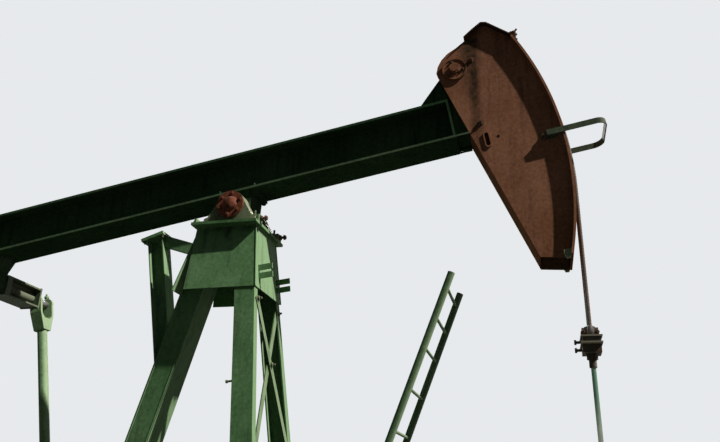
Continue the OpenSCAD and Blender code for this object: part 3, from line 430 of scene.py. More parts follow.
foot_drop = pivot[2] - skid_top
foot_top = skid_top + 0.02
front_foot_x = (leg_x + leg_w / 2 + foot_drop * sin_lean) / cos_lean
front_foot_ys = leg_y + foot_drop / cos_lean * side_slope + np.array((-0.1, 0.065))
rear_foot_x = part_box("rear_leg")[0].x + 0.17
leg_foot_spots = [grid_of((front_foot_x - 0.125, front_foot_x + 0.125), sign * front_foot_ys, [foot_top])
                  for sign in (-1, 1)]
leg_foot_spots.append(grid_of((rear_foot_x - 0.143, rear_foot_x + 0.143), (-0.12, 0.12), [foot_top]))
bolts("leg_foot_bolts", np.concatenate(leg_foot_spots), up, 0.03, rusty_bolt, "root", stud=0.9)

peg_profile = [(0.009, -0.004), (0.009, 0.04), (0.014, 0.04), (0.014, 0.052)]
peg_drop, peg_inset = 1.59, 0.012
peg_y = leg_y + peg_drop / cos_lean * side_slope - peg_inset
pegs = [turned(peg_profile, on_post(leg_x, -peg_drop, sign * peg_y), -out_front, 16) for sign in (-1, 1)]
new_piece("leg_pegs", pegs, bolt_paint, "root")

rear_lean = 15.1
on_rear = leaning(pivot, -rear_lean)[0]
rear_low, rear_high = -0.262, -0.085
side_in, side_out, side_top = 0.115, 0.123, 3.5


def rear_height(u, z):
    """How far up the rear leg's line a point stands that is u forward of it and z above the ground.

    It is (z - the pivot's z + u * sin(lean)) / cos(lean)."""
    lean = np.radians(rear_lean)
    return (z - pivot[2] + u * np.sin(lean)) / np.cos(lean)


side_low = foot_top + 0.002
rear_corners = [(rear_low, side_low), (rear_high, side_low), (rear_high, side_top), (rear_low, side_top)]
rear_line = np.array([(u, rear_height(u, z)) for u, z in rear_corners])
rear_plates = [np.stack([on_rear(rear_line[:, 0], rear_line[:, 1], y) for y in faces])[:, ::-1]
               for faces in ((-side_out, -side_in), (side_in, side_out))]
new_piece("rear_leg_plates", rear_plates, post_paint, "root")
rear_welds = [[on_rear(u, rear_height(u, z), sign * (side_out + 0.0005)) for z in (foot_top + 0.01, side_top - 0.1)]
              for u in (rear_low, rear_high) for sign in (-1, 1)]
weld_beads("rear_leg_welds", rear_welds, 0.005, post_paint, "root")

cap_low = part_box("cap_box")[0].z
plate_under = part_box("top_plate")[0].z
wall_out, cap_back = 0.012, -0.3
corner_u = flange_face + wall_out


def cap_corner(u, z, sign):
    """A point of the cap box's outer edge, at a distance u forward in the leaning frame and a height z.

    It is (the pivot's z + u * sin(lean) - z) / cos(lean) down the post, and out by the legs' spread there."""
    depth = (pivot[2] + u * sin_lean - z) / cos_lean
    return on_post(u, -depth, sign * (leg_y + depth * side_slope + wall_out))


cap_welds = []
for sign in (-1, 1):
    top_corner = cap_corner(corner_u, plate_under, sign)
    cap_welds.append([top_corner, cap_corner(corner_u, cap_low, sign)])
    cap_welds.append([cap_corner(cap_back, plate_under, sign), top_corner])
cap_welds.append([cap_corner(corner_u, plate_under, sign) for sign in (-1, 1)])
weld_beads("cap_welds", cap_welds, 0.006, cap_paint, "root")

# Top plate: a thick plate with four lugs, each tapped for the jack screw that pushes a bearing
# housing into line. Hex nuts lock the screws, and bolts hold the housings down.

plate_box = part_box("top_plate")
screw_ys = (-0.25, 0.25)
screw_z = pivot[2] - 0.132
housing_foot = pivot[2] - 0.114
for name, lug_x, facing in (("jack_nuts_front", 0.275, 1.0), ("jack_nuts_back", -0.345, -1.0)):
    bolts(name, grid_of([lug_x], screw_ys, [screw_z]), (facing, 0.0, 0.0), 0.042, rusty_bolt, "root", stud=0.2)
screw_heads = grid_of([plate_box[1].x - 0.016], screw_ys, [screw_z])
bolts("jack_screw_heads", screw_heads, (1.0, 0.0, 0.0), 0.036, rusty_bolt, "root", stud=0.0)
housing_spots = grid_of((-0.217, 0.217), screw_ys, [housing_foot])
bolts("housing_bolts", housing_spots, up, 0.042, bolt_paint, "root", stud=0.9)

# Rest behind the post: a wide-flange stub strutted off the rear leg, with a thick plate on which
# the beam is set down for service. Welded, with four bolts that hold the plate from below.

rest_paint = painted("rest_paint", (0.062, 0.145, 0.055), (0.12, 0.22, 0.1), fading=0.85, drips=0.35)
dress(rest_paint, "rear_post", "beam_rest")
rest_tilt, rest_t = 19, 0.03
on_rest, _, up_rest = leaning((-0.85, 0.0, pivot[2] - 0.171), rest_tilt)
rest_spots = [on_rest(u, -rest_t, y) for u in (-0.093, 0.093) for y in (-0.115, 0.115)]
bolts("rest_bolts", rest_spots, -up_rest, 0.024, bolt_paint, "root", stud=0.6)

# Saddle bearing: cast pillow blocks in paler green, closed by end covers in red primer that has
# gone to rust. Six bolts hold each cover, round a domed and battered grease cap.

casting_paint = painted("casting_paint", (0.16, 0.2, 0.11), (0.26, 0.3, 0.18), fading=0.8, drips=0.35, rust=0.25)
# The near faces are darkened round and below the covers: grime, and painted shade of the cover and beam.
stain_and_shade(casting_paint, (-0.03, 0.26, 4.2, 0.6, 0.85))
dress(casting_paint, "bearing_near", "bearing_far")
cover_paint = painted("cover_paint", (0.13, 0.034, 0.018), (0.27, 0.105, 0.065), fading=0.8, drips=0.8, rust=0.8,
                      rough=0.6, painted_sun=0.2)
dress(cover_paint, "bearing_covers")
cover_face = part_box("bearing_covers")[1].y
cover_ring = 0.1
cap_rows = [(0.071, -0.003), (0.071, 0.007), (0.064, 0.012), (0.06, 0.02), (0.045, 0.03), (0.022, 0.036),
            (0.006, 0.037)]


def battered(row, angle):
    """Scale of the grease cap's radius: 1 + 0.045 sin(2 a + 0.8 row) + 0.03 sin(5 a - 1.3 row)."""
    return 1 + 0.045 * np.sin(2 * angle + 0.8 * row) + 0.03 * np.sin(5 * angle - 1.3 * row)


def side_circles(place, u, w, radius, degrees, y):
    """Bolt places on both sides of a leaning frame: (u + radius cos a, w + radius sin a) at -y, then at +y."""
    turn = np.radians(degrees)
    return np.concatenate([place(u + radius * np.cos(turn), w + radius * np.sin(turn), sign * y) for sign in (-1, 1)])


grease_caps = [turned(cap_rows, pivot + sign * cover_face * across_y, sign * across_y, 40, wobble=battered)
               for sign in (-1, 1)]
new_piece("grease_caps", grease_caps, cover_paint, "root", smooth=True)
cover_spots = side_circles(leaning(pivot, 0)[0], 0.0, 0.0, cover_ring, np.arange(6) * 60.0 + 22.0, cover_face)
bolts("cover_bolts", cover_spots, None, 0.028, cover_paint, "root", stud=0.15)


def turned_steel(name, bare, grimy=(0.06, 0.04, 0.025), rough=0.34, grime=0.5, gloss=0.9):
    """Machined steel: brown grime in blotches over a dull metal gloss, with fine scratches."""
    finish = bpy.data.materials.new(name)
    finish.use_nodes = True
    tree = finish.node_tree
    metal = tree.nodes["Principled BSDF"].inputs
    place = put(tree, "TexCoord").outputs["Object"]
    soil = window(tree, noise(tree, place, 9.0, 6.0, 0.65), 0.42, 0.7, grime)
    tree.links.new(blend_colours(tree, soil, colour(*bare), colour(*grimy)), metal["Base Color"])
    tree.links.new(maths(tree, "MULTIPLY", maths(tree, "SUBTRACT", 1.0, soil), gloss), metal["Metallic"])
    scratch = noise(tree, place, 40.0, 4.0)
    dull = put(tree, "MapRange", {"Value": scratch, "To Min": rough - 0.08, "To Max": rough + 0.22})
    tree.links.new(dull.outputs[0], metal["Roughness"])
    bump = put(tree, "Bump", {"Height": noise(tree, place, 160.0, 2.0), "Strength": 0.12, "Distance": 0.001})
    tree.links.new(bump.outputs[0], metal["Normal"])
    return finish


shaft_steel = turned_steel("shaft_steel", (0.3, 0.3, 0.28))
dress(shaft_steel, "cross_shaft")

# Ladder: two pipe rails with round rungs welded between them, held off the front legs by flat
# stays, and two foot plates bolted to the skid.

ladder_paint = painted("ladder_paint", (0.065, 0.125, 0.055), (0.13, 0.2, 0.105), fading=0.8, drips=0.3, rust=0.28)
dress(ladder_paint, "ladder")
stay_paint = painted("stay_paint", (0.03, 0.045, 0.026), (0.08, 0.1, 0.06), fading=0.5, rust=0.5)
dress(stay_paint, "ladder_stays")
ladder_x, ladder_y, ladder_slope = 0.782, 0.31, np.tan(np.radians(21.1))
rail_r, rung_r = 0.029, 0.013
rung_drops = np.concatenate([0.85 + 0.238 * np.arange(3), 1.636 + 0.31 * np.arange(7)])


def hoop(x, y, z, radius, count=61):
    """Points of a closed circle that faces along Y: (x + radius cos a, y, z + radius sin a)."""
    turn = np.linspace(0.0, 2 * np.pi, count)
    return np.stack([x + radius * np.cos(turn), 0 * turn + y, z + radius * np.sin(turn)], axis=1)


rung_end = ladder_y - rail_r + 0.002
rung_welds = [hoop(ladder_x + (foot_drop - drop) * ladder_slope, sign * rung_end, pivot[2] - drop, rung_r, 25)
              for drop in rung_drops for sign in (-1, 1)]
weld_beads("rung_welds", rung_welds, 0.004, ladder_paint, "root")
ladder_feet = grid_of([ladder_x + 0.038], (-0.27, -0.35, 0.27, 0.35), [skid_top + 0.01])
bolts("ladder_foot_bolts", ladder_feet, up, 0.02, rusty_bolt, "root")

# Walking beam: one deep wide-flange girder with the saddle block, the tail bearing and the hanger
# for the horsehead bolted or welded on. Its green paint is darkened almost to black-green as painted
# shade, with oil off the bearings.

beam_tilt = 10
on_beam, along_beam, above_beam = leaning(pivot, beam_tilt)
beam_shade_paint = painted("beam_shade_paint", (0.02, 0.047, 0.021), (0.045, 0.085, 0.041), fading=0.7, drips=0.6, dust=0.5,
                     rust=0.12, shine=0.0, painted_sun=0.2)
dress(beam_shade_paint, "walking_beam", "saddle_block", "tail_bearing", "head_hanger")
# A lighter copy of the beam's paint for its lower flange edges: wear, and painted light beside the beam's painted
# shade.
lit_edge_paint = painted("lit_edge_paint", (0.045, 0.075, 0.038), (0.09, 0.13, 0.075), fading=0.8, drips=0.2, rust=0.3)
beam_low, beam_high, beam_half, flange, web_half = 0.19, 0.59, 0.17, 0.024, 0.007
tail_u = -2.7
foot_bolting = ((0.0, 0.172, 0.112, 0.15), (tail_u, 0.19, 0.07, 0.16))
foot_holes = [(middle + u, y, under) for middle, half_long, half_wide, under in foot_bolting
              for u in (-half_long, half_long) for y in (-half_wide, half_wide)]
head_spots = [on_beam(u, under, y) for u, y, under in foot_holes]
bolts("saddle_bolt_heads", head_spots, -above_beam, 0.038, beam_shade_paint, "beam", stud=0.0)
nut_spots = [on_beam(u, beam_low + flange, y) for u, y, under in foot_holes]
bolts("saddle_nuts", nut_spots, above_beam, 0.038, beam_shade_paint, "beam", stud=0.7)
fillets = [[on_beam(u, w, sign * web_half) for u in (-2.9, 2.05)]
           for w in (beam_low + flange, beam_high - flange) for sign in (-1, 1)]
weld_beads("beam_fillets", fillets, 0.0108, beam_shade_paint, "beam")


def worn_lit_edge(name, sign):
    """A thin strip of lighter paint on a lower flange edge: worn paint, and painted light, as the lit edge
    beside the beam's painted shade. Its outline keeps 1.8 mm off the flange's corners,
    and wavers by a further |1.6 sin(23 u) + 1.2 sin(61 u + 1)| mm."""
    u = np.linspace(-2.92, 2.2, 160)
    inset = 0.0018 + np.abs(0.0016 * np.sin(23 * u) + 0.0012 * np.sin(61 * u + 1))
    lower = on_beam(u, beam_low + inset, sign * beam_half)
    upper = on_beam(u, beam_low + flange - inset[::-1], sign * beam_half)
    outline = np.concatenate([lower, upper[::-1]])[::-sign]
    thick = sign * 0.0006 * across_y
    return new_piece(name, [np.stack([outline - thick, outline + thick])], lit_edge_paint, "beam")


worn_lit_edge("flange_edge_low_near", -1)
worn_lit_edge("flange_edge_low_far", 1)

# Horsehead: a hollow box of plates, with the curved track plate in front that carries the rope and
# a wide cover plate on top. Its brown paint has weathered to a rusty matt skin, with a long dirty
# run below the cover. Bolts, a stiffened slot and a drain hole show on each side plate.

head_paint = painted("head_paint", (0.205, 0.088, 0.046), (0.305, 0.145, 0.088), fading=0.85, drips=0.35, dust=0.3,
                     rust=0.3, rough=0.6, shine=0.0, painted_sun=0.15)
stain_and_shade(head_paint, (2.16, 0.13, 5.8, 0.8, 0.85), (2.2, 0.07, 5.7, 1.35, 0.9), (2.42, 0.04, 5.75, 0.7, 0.35),
      (2.6, 0.03, 5.2, 0.8, 0.3))
dress(head_paint, "head_side_near", "head_side_far", "head_front", "head_back", "head_pin")
cover_plate_paint = painted("cover_plate_paint", (0.045, 0.024, 0.016), (0.085, 0.045, 0.028), fading=0.7, rust=0.3,
                            shine=0.0, painted_sun=0.1)
dress(cover_plate_paint, "head_ends")
# The rope guard's green is darkened as painted shade for its shaded sides.
rope_guard_shade_paint = painted("rope_guard_shade_paint", (0.035, 0.05, 0.03), (0.11, 0.14, 0.085), fading=0.6, drips=0.5, rust=0.4,
                     painted_sun=0.3)
dress(rope_guard_shade_paint, "rope_guard")
anchor_paint = painted("anchor_paint", (0.09, 0.045, 0.028), (0.17, 0.095, 0.06), fading=0.7, drips=0.6, rust=0.7)
dress(anchor_paint, "rope_anchor")
head_half = 0.17
head_holes = ((2.374, 0.928, head_half), (2.321, 0.265, head_half), (2.812, -0.015, head_half + 0.0103))
head_bolts = [on_beam(u, w, sign * y) for sign in (-1, 1) for u, w, y in head_holes]
bolts("head_bolts", head_bolts, None, 0.04, rusty_bolt, "beam", stud=0.5)
pin_u, pin_w, disc_t = 2.21, 0.875, 0.014
disc_spots = side_circles(on_beam, pin_u, pin_w, 0.077, (100.0, 220.0, 340.0), head_half + disc_t)
bolts("pin_disc_bolts", disc_spots, None, 0.024, rusty_bolt, "beam", stud=0.3)

# Near-black sheets in the slot and over the drain hole: painted shade for their depth.
painted_hole_shade = painted("painted_hole_shade", (0.012, 0.006, 0.004), (0.03, 0.014, 0.008), drips=0.1, dust=0.0, rust=0.3, rough=0.7)
slot_u, slot_w = 2.341, 0.089
drain_u, drain_w, drain_r = 2.438, 0.097, 0.013


def stadium(half_width, half_length, count=12):
    """Outline of the slot: two half circles of half_width, joined by straight sides, standing along w."""
    turn = np.linspace(0.0, np.pi, count)
    aside, rise = half_width * np.cos(turn), half_length - half_width + half_width * np.sin(turn)
    top = np.stack([slot_u + aside, slot_w + rise], axis=1)
    low = np.stack([slot_u - aside, slot_w - rise], axis=1)
    return np.concatenate([top, low])


def on_side(rows, sign):
    """Points of rows of (outline, height above the head's side plate) on one side, wound to face outwards."""
    ring = [on_beam(line[:, 0], line[:, 1], sign * (head_half + height)) for line, height in rows]
    return np.stack(ring)[:, ::-sign]


outer, inner = stadium(0.029, 0.078), stadium(0.018, 0.066)
rim_rows = [(outer, -0.001), (outer, 0.012), (inner, 0.012), (inner, -0.001)]
new_piece("slot_rims", [on_side(rim_rows, sign) for sign in (-1, 1)], head_paint, "beam")
drain_turn = np.arange(24) * np.pi / 12
drain = np.stack([drain_u + drain_r * np.cos(drain_turn), drain_w + drain_r * np.sin(drain_turn)], axis=1)
hole_shade_sheets = [on_side([(edge, -0.001), (edge, 0.0012)], sign)
               for sign in (-1, 1) for edge in (stadium(0.0185, 0.0665), drain)]
new_piece("slot_and_drain_shade", hole_shade_sheets, painted_hole_shade, "beam")

head_r, track_plate_r = 2.977, 2.957
arc_low, arc_top = np.radians(0.5) - np.arcsin(1.1 / head_r), np.arcsin(1.052 / head_r) - np.radians(0.3)
arc = np.linspace(arc_low, arc_top, 90)
cover_under = [(2.364, 1.158), (2.446, 1.212), (2.54, 1.265), (2.582, 1.252), (2.75, 1.075)]
head_welds = []
for sign in (-1, 1):
    head_welds.append(on_beam(track_plate_r * np.cos(arc), track_plate_r * np.sin(arc), sign * head_half))
    head_welds.append([on_beam(u, w - 0.002, sign * head_half) for u, w in cover_under])
weld_beads("head_welds", head_welds, 0.0055, head_paint, "beam")

tab_outline = np.array([(2.698, -1.05), (2.764, -1.045), (2.757, -1.085), (2.738, -1.118), (2.708, -1.115),
                        (2.697, -1.08)])


def plate_on_beam(outline, y0, y1):
    """Points of a plate cut to an outline of (along, above) and standing between two distances across the beam."""
    line = outline if np.cross(outline[1] - outline[0], outline[2] - outline[1]) < 0 else outline[::-1]
    return np.stack([on_beam(line[:, 0], line[:, 1], y0), on_beam(line[:, 0], line[:, 1], y1)])


tabs = [plate_on_beam(tab_outline, low, high) for low, high in ((-0.205, -0.169), (0.169, 0.205))]
new_piece("bottom_tabs", tabs, casting_paint, "beam", bevel=0.002)

# Rope anchor: a block over the top end of the track, in which both rope ends are clamped under a
# bar with four nuts. Rusty, with the frayed rope tails behind it.

anchor_low = np.array([2.779, 1.056])
anchor_run = unit(np.array([0.93, -1.0]))
anchor_rise = np.array([-anchor_run[1], anchor_run[0]])
bar_edge = ((-0.075, 0.056), (-0.01, 0.062), (-0.01, 0.082), (-0.07, 0.078))
clamp_bar = np.array([anchor_low + a * anchor_run + b * anchor_rise for a, b in bar_edge])
new_piece("anchor_bar", [plate_on_beam(clamp_bar, -0.13, 0.13)], rusty_bolt, "beam", bevel=0.003)
anchor_up = along_beam * anchor_rise[0] + above_beam * anchor_rise[1]
nut_at = anchor_low - 0.04 * anchor_run + 0.08 * anchor_rise
anchor_spots = [on_beam(nut_at[0], nut_at[1], y) for y in (-0.112, -0.038, 0.038, 0.112)]
bolts("anchor_nuts", anchor_spots, anchor_up, 0.036, rusty_bolt, "beam", stud=0.9)

# Bridle: two strands of wire rope from the anchor on top of the track, round it and down to the
# carrier bar. Six strands laid in a helix, greased and rusty, with a pressed sleeve at the lower end.

rope_r, rope_y = 0.014, 0.075
track_r, rope_top = 2.9913, 30.07
lay_length = 0.16


def laid_strands(length, angle):
    """Radius of a six-strand rope: r * (0.8 + 0.2 |cos(3 a - 6 pi s / lay length)|), lobes that turn as they go."""
    turn = angle * 6 - 6 * 2 * np.pi * length / lay_length
    return rope_r * (0.8 + 0.2 * np.abs(np.cos(turn / 2)))


rope_steel = turned_steel("rope_steel", (0.1, 0.07, 0.05), (0.05, 0.025, 0.014), 0.6, 0.85, gloss=0.3)
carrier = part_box("carrier_bar")
rope_ends = (carrier[1].z + 0.001, pivot[2])
for name, sign in (("near", -1), ("far", 1)):
    top = np.radians(np.linspace(rope_top, 0.0, 300))
    wrapped = pivot + np.stack([track_r * np.cos(top), 0 * top + sign * rope_y, track_r * np.sin(top)], axis=1)
    strand = new_piece("wrapped_rope_" + name, [tube_on(wrapped, across_y, laid_strands, 36)], rope_steel, smooth=True)
    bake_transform(strand)
    drop = np.linspace(rope_ends[1], rope_ends[0], 240)
    hanging = np.stack([0 * drop + track_r, 0 * drop + sign * rope_y, drop], axis=1)
    strand = new_piece("hanging_rope_" + name, [tube_on(hanging, across_y, laid_strands, 36)], rope_steel, smooth=True)
    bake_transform(strand)
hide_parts("head_rope")
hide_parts("hanging_rope")

# Carrier bar, clamp and polished rod: the bar hangs in the two strands, the clamp sits on it and
# grips the rod, which is ground steel with old green paint on its upper part.

bar_paint = painted("bar_paint", (0.035, 0.033, 0.025), (0.13, 0.11, 0.08), fading=0.7, rust=0.7, rough=0.6)
pale_band_heights, pale_band_tint = ((2.858, 2.871), (2.807, 2.821)), (0.24, 0.22, 0.16)


def pale_bands(finish, bands, tint):
    """Tints a painted finish paler between the heights of each band."""
    tree = finish.node_tree
    coat = tree.nodes["Principled BSDF"].inputs
    height = put(tree, "SeparateXYZ", {0: put(tree, "TexCoord").outputs["Object"]}).outputs[2]
    shade = coat["Base Color"].links[0].from_socket
    for low, high in bands:
        inside = window(tree, height, low - 0.001, low)
        inside = maths(tree, "SUBTRACT", inside, window(tree, height, high, high + 0.001))
        shade = blend_colours(tree, maths(tree, "MULTIPLY", inside, 0.75), shade, colour(*tint))
    tree.links.new(shade, coat["Base Color"])


pale_bands(bar_paint, pale_band_heights, pale_band_tint)
dress(bar_paint, "carrier_bar")
clamp_steel = turned_steel("clamp_steel", (0.07, 0.06, 0.05), rough=0.55, grime=0.9, gloss=0.4)
dress(clamp_steel, "rod_clamp")
rod_steel = turned_steel("rod_steel", (0.24, 0.27, 0.21), rough=0.3, grime=0.3)
rod_green = (0.08, 0.2, 0.11)


def paint_upper(finish, low, high, tint):
    """Tints a finish above a height: the tint takes over between low and high, with a wavering edge."""
    tree = finish.node_tree
    metal = tree.nodes["Principled BSDF"].inputs
    place = put(tree, "TexCoord").outputs["Object"]
    waver = maths(tree, "MULTIPLY", noise(tree, place, 14.0, 4.0), 0.12)
    height = maths(tree, "ADD", put(tree, "SeparateXYZ", {0: place}).outputs[2], waver)
    amount = window(tree, height, low, high)
    under = metal["Base Color"].links[0].from_socket
    shine = metal["Metallic"].links[0].from_socket
    tree.links.new(blend_colours(tree, amount, under, colour(*tint)), metal["Base Color"])
    tree.links.new(maths(tree, "MULTIPLY", shine, maths(tree, "SUBTRACT", 1.0, amount)), metal["Metallic"])


paint_upper(rod_steel, 2.25, 2.5, rod_green)
dress(rod_steel, "polished_rod")
sleeve_rows = [(0.017, 0.002), (0.024, 0.004), (0.024, 0.05), (0.02, 0.075), (0.0155, 0.085)]
sleeves = [turned(sleeve_rows, (track_r, sign * rope_y, carrier[1].z), up, 24) for sign in (-1, 1)]
new_piece("rope_sleeves", sleeves, clamp_steel, "rod", smooth=True)
clamp_half, bolt_drift, bolt_rise = 0.0245, 0.052, 0.044
clamp_xs = (track_r - bolt_drift, track_r + bolt_drift)
clamp_spots = grid_of(clamp_xs, [-clamp_half], [carrier[1].z + bolt_rise])
bolts("clamp_bolts", clamp_spots, -across_y, 0.026, rusty_bolt, "rod", stud=0.5)
bolts("clamp_nuts", clamp_spots * (1, -1, 1), across_y, 0.026, rusty_bolt, "rod", stud=0.5)

# Equalizer and pitmans: a short girder on the tail bearing, with a pin from each end on which the
# forked head of a pitman pipe hangs. Collars, nuts and grease fittings at the pins.

equalizer_paint = painted("equalizer_paint", (0.042, 0.07, 0.035), (0.1, 0.127, 0.074), fading=0.85, rust=0.2)
dress(equalizer_paint, "equalizer")
pitman_paint = painted("pitman_paint", (0.1, 0.185, 0.083), (0.185, 0.275, 0.147), fading=0.8, drips=0.3)
dress(pitman_paint, "pitman_near", "pitman_far")
dress(shaft_steel, "equalizer_shaft", "pitman_pins", "slow_shaft", "input_shaft")
pin_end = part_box("pitman_pins")[1].y
nut_hexes = [0, 0, 1, 1, 0]
nut_rows = [(0.053, -0.013), (0.053, -0.008), (0.047, -0.008), (0.047, -0.003), (0.043, -0.001)]
pin_nuts = [turned(nut_rows, tail + sign * pin_end * across_y, sign * across_y, 24, nut_hexes) for sign in (-1, 1)]
new_piece("pin_nuts", pin_nuts, bolt_paint, "pitmans")
pitman_lean, pitman_y, pitman_len = 14, 0.815, 2.7404
on_pitman, _, up_pitman = leaning(tail, pitman_lean)
fork_middles, fork_top = (0.721, 0.909), 0.068
fitting_rows = [(0.017, -0.006), (0.017, 0.014), (0.026, 0.014), (0.026, 0.034), (0.012, 0.04), (0.012, 0.058),
                (0.007, 0.064)]
fittings = [turned(fitting_rows, on_pitman(0.0, fork_top, sign * y), up_pitman, 20)
            for y in fork_middles for sign in (-1, 1)]
new_piece("fork_fittings", fittings, pitman_paint, "pitmans")
pipe_r, neck_drop, foot_neck = 0.051, 0.321, 0.236
neck_turn = np.linspace(0.0, 2 * np.pi, 33)
neck_welds = [on_pitman(pipe_r * np.cos(neck_turn), -w, sign * pitman_y + pipe_r * np.sin(neck_turn))
              for sign in (-1, 1) for w in (neck_drop, pitman_len - foot_neck)]
weld_beads("neck_welds", neck_welds, 0.007, pitman_paint, "pitmans")

# Cranks and counterweights: flame-cut arms on the slow shaft with cast weights bolted to their
# edges, in the unit's green paint. The pitman's foot bearing is closed by a bolted cover.

crank_paint = painted("crank_paint", (0.06, 0.11, 0.05), (0.125, 0.18, 0.1), fading=0.75, rust=0.35)
dress(crank_paint, "crank_near", "crank_far", "weights_near", "weights_far")
foot_face, foot_ring = 0.915, 0.135
foot_spots = side_circles(on_pitman, 0.0, -pitman_len, foot_ring, np.arange(8) * 45.0, foot_face)
bolts("foot_cover_bolts", foot_spots, None, 0.026, bolt_paint, "pitmans", stud=0.3)
end_rows = [(0.05, -0.012), (0.05, -0.007), (0.042, -0.007), (0.042, -0.002), (0.038, -0.001)]
end_nuts = [turned(end_rows, on_pitman(0.0, -pitman_len, sign * pin_end), sign * across_y, 24, nut_hexes)
            for sign in (-1, 1)]
new_piece("crank_pin_nuts", end_nuts, bolt_paint, "pitmans")
crank_lean, weight_y = 14, 0.64
on_crank, along_crank, _ = leaning(shaft, crank_lean)
weight_edge = {0.79: 0.4415, 0.87: 0.4305}
weight_holes = [(side, w, sign) for side in (-1, 1) for w in weight_edge for sign in (-1, 1)]
weight_spots = [on_crank(side * weight_edge[w], -w, sign * weight_y) for side, w, sign in weight_holes]
weight_out = [side * along_crank for side, w, sign in weight_holes]
bolts("weight_bolts", weight_spots, weight_out, 0.05, bolt_paint, "cranks", stud=0.5)

# Gear reducer and its stand: a two-part casting bolted along its middle flange, with bearing caps
# where the shafts pass out, an inspection lid and a breather. Cast iron in the unit's green paint.

reducer_paint = painted("reducer_paint", (0.065, 0.12, 0.052), (0.135, 0.19, 0.11), fading=0.75, rust=0.25)
dress(reducer_paint, "reducer_stand", "gear_reducer", "brake_drum", "motor_base")
seam_y, seam_z = 0.408, shaft[2] + 0.018
seam_x = shaft[0] + np.array((-0.69, -0.655, -0.38, -0.3, -0.22, 0.22, 0.29, 0.36))
bolts("seam_bolts", grid_of(seam_x, (-seam_y, seam_y), [seam_z]), up, 0.021, bolt_paint, "root", stud=0.6)
input_spot = shaft + (-0.52, 0.0, 0.06)
bearing_caps = ((shaft, 0.148, 0.44, 8), (input_spot, 0.082, 0.43, 6))
cap_bolts = [side_circles(leaning(middle, 0)[0], 0.0, 0.0, ring, (np.arange(count) + 0.5) * 360 / count, face)
             for middle, ring, face, count in bearing_caps]
bolts("bearing_cap_bolts", np.concatenate(cap_bolts), None, 0.018, bolt_paint, "root", stud=0.0)
lid_start, lid_run, lid_y, lid_z = -0.091, 0.29, 0.165, 0.398
lid_up = unit((0.146, 0.0, 0.989))
lid_spots = [shaft + (lid_start + lid_run * part, y, lid_z - 0.043 * part)
             for part in (0.1, 0.5, 0.9) for y in (-lid_y, lid_y)]
bolts("lid_bolts", lid_spots, lid_up, 0.02, bolt_paint, "root", stud=0.2)
breather_rows = [(0.036, 0.0), (0.04, 0.01), (0.04, 0.03), (0.03, 0.042), (0.008, 0.046)]
breather = turned(breather_rows, shaft + (-0.42, 0.0, lid_z), up, 28)
new_piece("breather_cap", [breather], rusty_bolt, "root", smooth=True)

# Motor on its slide rails: finned iron casing with a fan cowl and a terminal box, in grey enamel
# gone dull. The belt guard is folded sheet, bolted round its rim, with a round vent at the pulley.

motor_paint = painted("motor_paint", (0.07, 0.09, 0.095), (0.13, 0.15, 0.15), rust=0.2)
dress(motor_paint, "motor")
motor_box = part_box("motor")
motor_x, motor_z = shaft[0] - 1.95, 0.66
foot_x, foot_y, foot_z = 0.21, 0.25, 0.405
motor_feet = grid_of((motor_x - foot_x, motor_x + foot_x), (-foot_y, foot_y), [foot_z])
bolts("motor_bolts", motor_feet, up, 0.032, rusty_bolt, "root", stud=0.8)
grille = [hoop(motor_x, motor_box[1].y, motor_z, ring_r) for ring_r in (0.05, 0.09, 0.13, 0.17)]
weld_beads("fan_grille", grille, 0.006, motor_paint, "root")
screw_spots = grid_of([motor_x + 0.28], (-0.07, 0.07), (motor_z + 0.04, motor_z + 0.15))
bolts("terminal_screws", screw_spots, (1.0, 0.0, 0.0), 0.014, rusty_bolt, "root", stud=0.0)

guard_paint = painted("guard_paint", (0.075, 0.12, 0.055), (0.15, 0.2, 0.12), fading=0.7, rust=0.35)
dress(guard_paint, "belt_guard")
guard_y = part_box("belt_guard")[0].y
small_end, small_r = np.array([motor_x, motor_z]), 0.15
large_end, large_r = np.array([input_spot[0], input_spot[2]]), 0.33
rim_in, rim_step = 0.028, 0.006
run = large_end - small_end
heading = np.arctan2(run[1], run[0])
turn_back = np.arccos((small_r - large_r) / np.linalg.norm(run))
rim_spots = []
for side in (1, -1):
    normal = np.array([np.cos(heading + side * turn_back), np.sin(heading + side * turn_back)])
    for part in np.linspace(0.06, 0.94, 8):
        x, z = small_end + part * run + (small_r + part * (large_r - small_r) - rim_in) * normal
        rim_spots.append((x, guard_y + rim_step, z))
for turn in heading + np.radians((-50.0, -20.0, 10.0, 40.0)):
    x, z = large_end + (large_r - rim_in) * np.array([np.cos(turn), np.sin(turn)])
    rim_spots.append((x, guard_y, z))
bolts("guard_bolts", rim_spots, -across_y, 0.02, bolt_paint, "root", stud=0.2)
vent_r = 0.155
vent = [hoop(large_end[0], guard_y, large_end[1], ring_r) for ring_r in (0.05, 0.085, 0.12, vent_r)]
for spoke in np.radians((0.0, 45.0, 90.0, 135.0)):
    reach = vent_r * np.array([np.cos(spoke), 0.0, np.sin(spoke)])
    vent.append([(large_end[0], guard_y, large_end[1]) + sign * reach for sign in (-1, 1)])
weld_beads("guard_vent", vent, 0.005, guard_paint, "root")

# Studio: pale floor and background, one broad key from the front and above, a faint lamp from
# behind, and pale fill. The floor looks pale to the camera but throws little light back up.

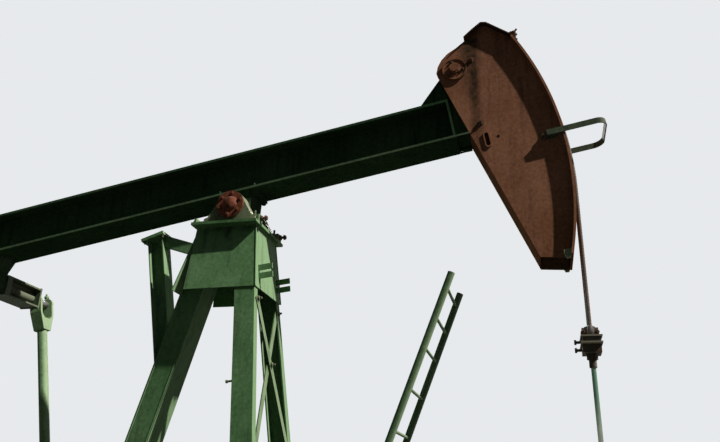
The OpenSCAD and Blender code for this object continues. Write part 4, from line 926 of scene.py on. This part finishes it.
floor_half, floor_t = 40.0, 0.02
floor_line = floor_half * np.array([(-1, -1), (1, -1), (1, 1), (-1, 1)])
floor = new_piece("floor", [np.stack([np.column_stack([floor_line, np.full(4, z)]) for z in (-floor_t, 0.0)])], None)
floor_finish = bpy.data.materials.new("floor")
floor_finish.use_nodes = True
floor_tree = floor_finish.node_tree
seen = put(floor_tree, "LightPath").outputs
shown = maths(floor_tree, "MAXIMUM", seen["Is Camera Ray"], seen["Is Glossy Ray"])
floor_coat = floor_tree.nodes["Principled BSDF"].inputs
floor_shade = blend_colours(floor_tree, shown, colour(0.05, 0.05, 0.045), colour(0.56, 0.56, 0.55))
floor_tree.links.new(floor_shade, floor_coat["Base Color"])
floor_coat["Roughness"].default_value = 0.9
floor_coat["Specular IOR Level"].default_value = 0.1
floor.data.materials.append(floor_finish)

world = bpy.data.worlds.new("studio")
bpy.context.scene.world = world
world.use_nodes = True
backdrop = world.node_tree
seen = put(backdrop, "LightPath").outputs
direct = maths(backdrop, "MAXIMUM", seen["Is Camera Ray"], seen["Is Glossy Ray"])
direct = maths(backdrop, "MAXIMUM", direct, seen["Is Transmission Ray"])
fill, pale = colour(0.055, 0.065, 0.075), colour(0.8, 0.82, 0.84)
backdrop.links.new(blend_colours(backdrop, direct, fill, pale), backdrop.nodes["Background"].inputs["Color"])


def turn_toward(direction, roll=0.0):
    """Rotation that points an object's Z axis along a direction, its X axis level, then rolled."""
    z = unit(direction)
    x = unit(np.cross([0.0, 0.0, 1.0], z))
    y = np.cross(z, x)
    x, y = np.cos(roll) * x + np.sin(roll) * y, -np.sin(roll) * x + np.cos(roll) * y
    return np.column_stack([x, y, z])


def place_object(thing, turn, spot):
    """Writes a rotation and a place into an object's matrix."""
    whole = np.eye(4)
    whole[:3, :3] = turn
    whole[:3, 3] = spot
    thing.matrix_world = Matrix(whole.tolist())


lamp_far = 9.0
for name, energy, spread, aim in (("key", 5.0, 0.02, (0.67, -0.215, 0.71)), ("back", 2.6, 0.4, (-0.2, 0.85, 0.48))):
    lamp = bpy.data.lights.new(name, "SUN")
    lamp.energy = energy
    lamp.angle = spread
    lamp.color = (1.0, 0.97, 0.92)
    stand = bpy.data.objects.new(name, lamp)
    bpy.context.scene.collection.objects.link(stand)
    place_object(stand, turn_toward(aim), lamp_far * np.array(aim))

# Camera: at eye height in front of the near side, looking up along the beam as the photograph does.
# Its place, turn and lens come from fitting the unit's known lines to the photograph.

lens = bpy.data.cameras.new("camera")
lens.sensor_width = 36.0
lens.lens = 35.712
lens.shift_x = -0.003
lens.shift_y = -0.0152
eye = bpy.data.objects.new("camera", lens)
bpy.context.scene.collection.objects.link(eye)
eye_spot = (2.584, -5.749, 1.615)
yaw, pitch, roll = 0.246, 0.395, 0.025
look = np.array([-np.sin(yaw) * np.cos(pitch), np.cos(yaw) * np.cos(pitch), np.sin(pitch)])
place_object(eye, turn_toward(-look, roll), eye_spot)
bpy.context.scene.camera = eye

bpy.context.scene.view_settings.view_transform = "Standard"
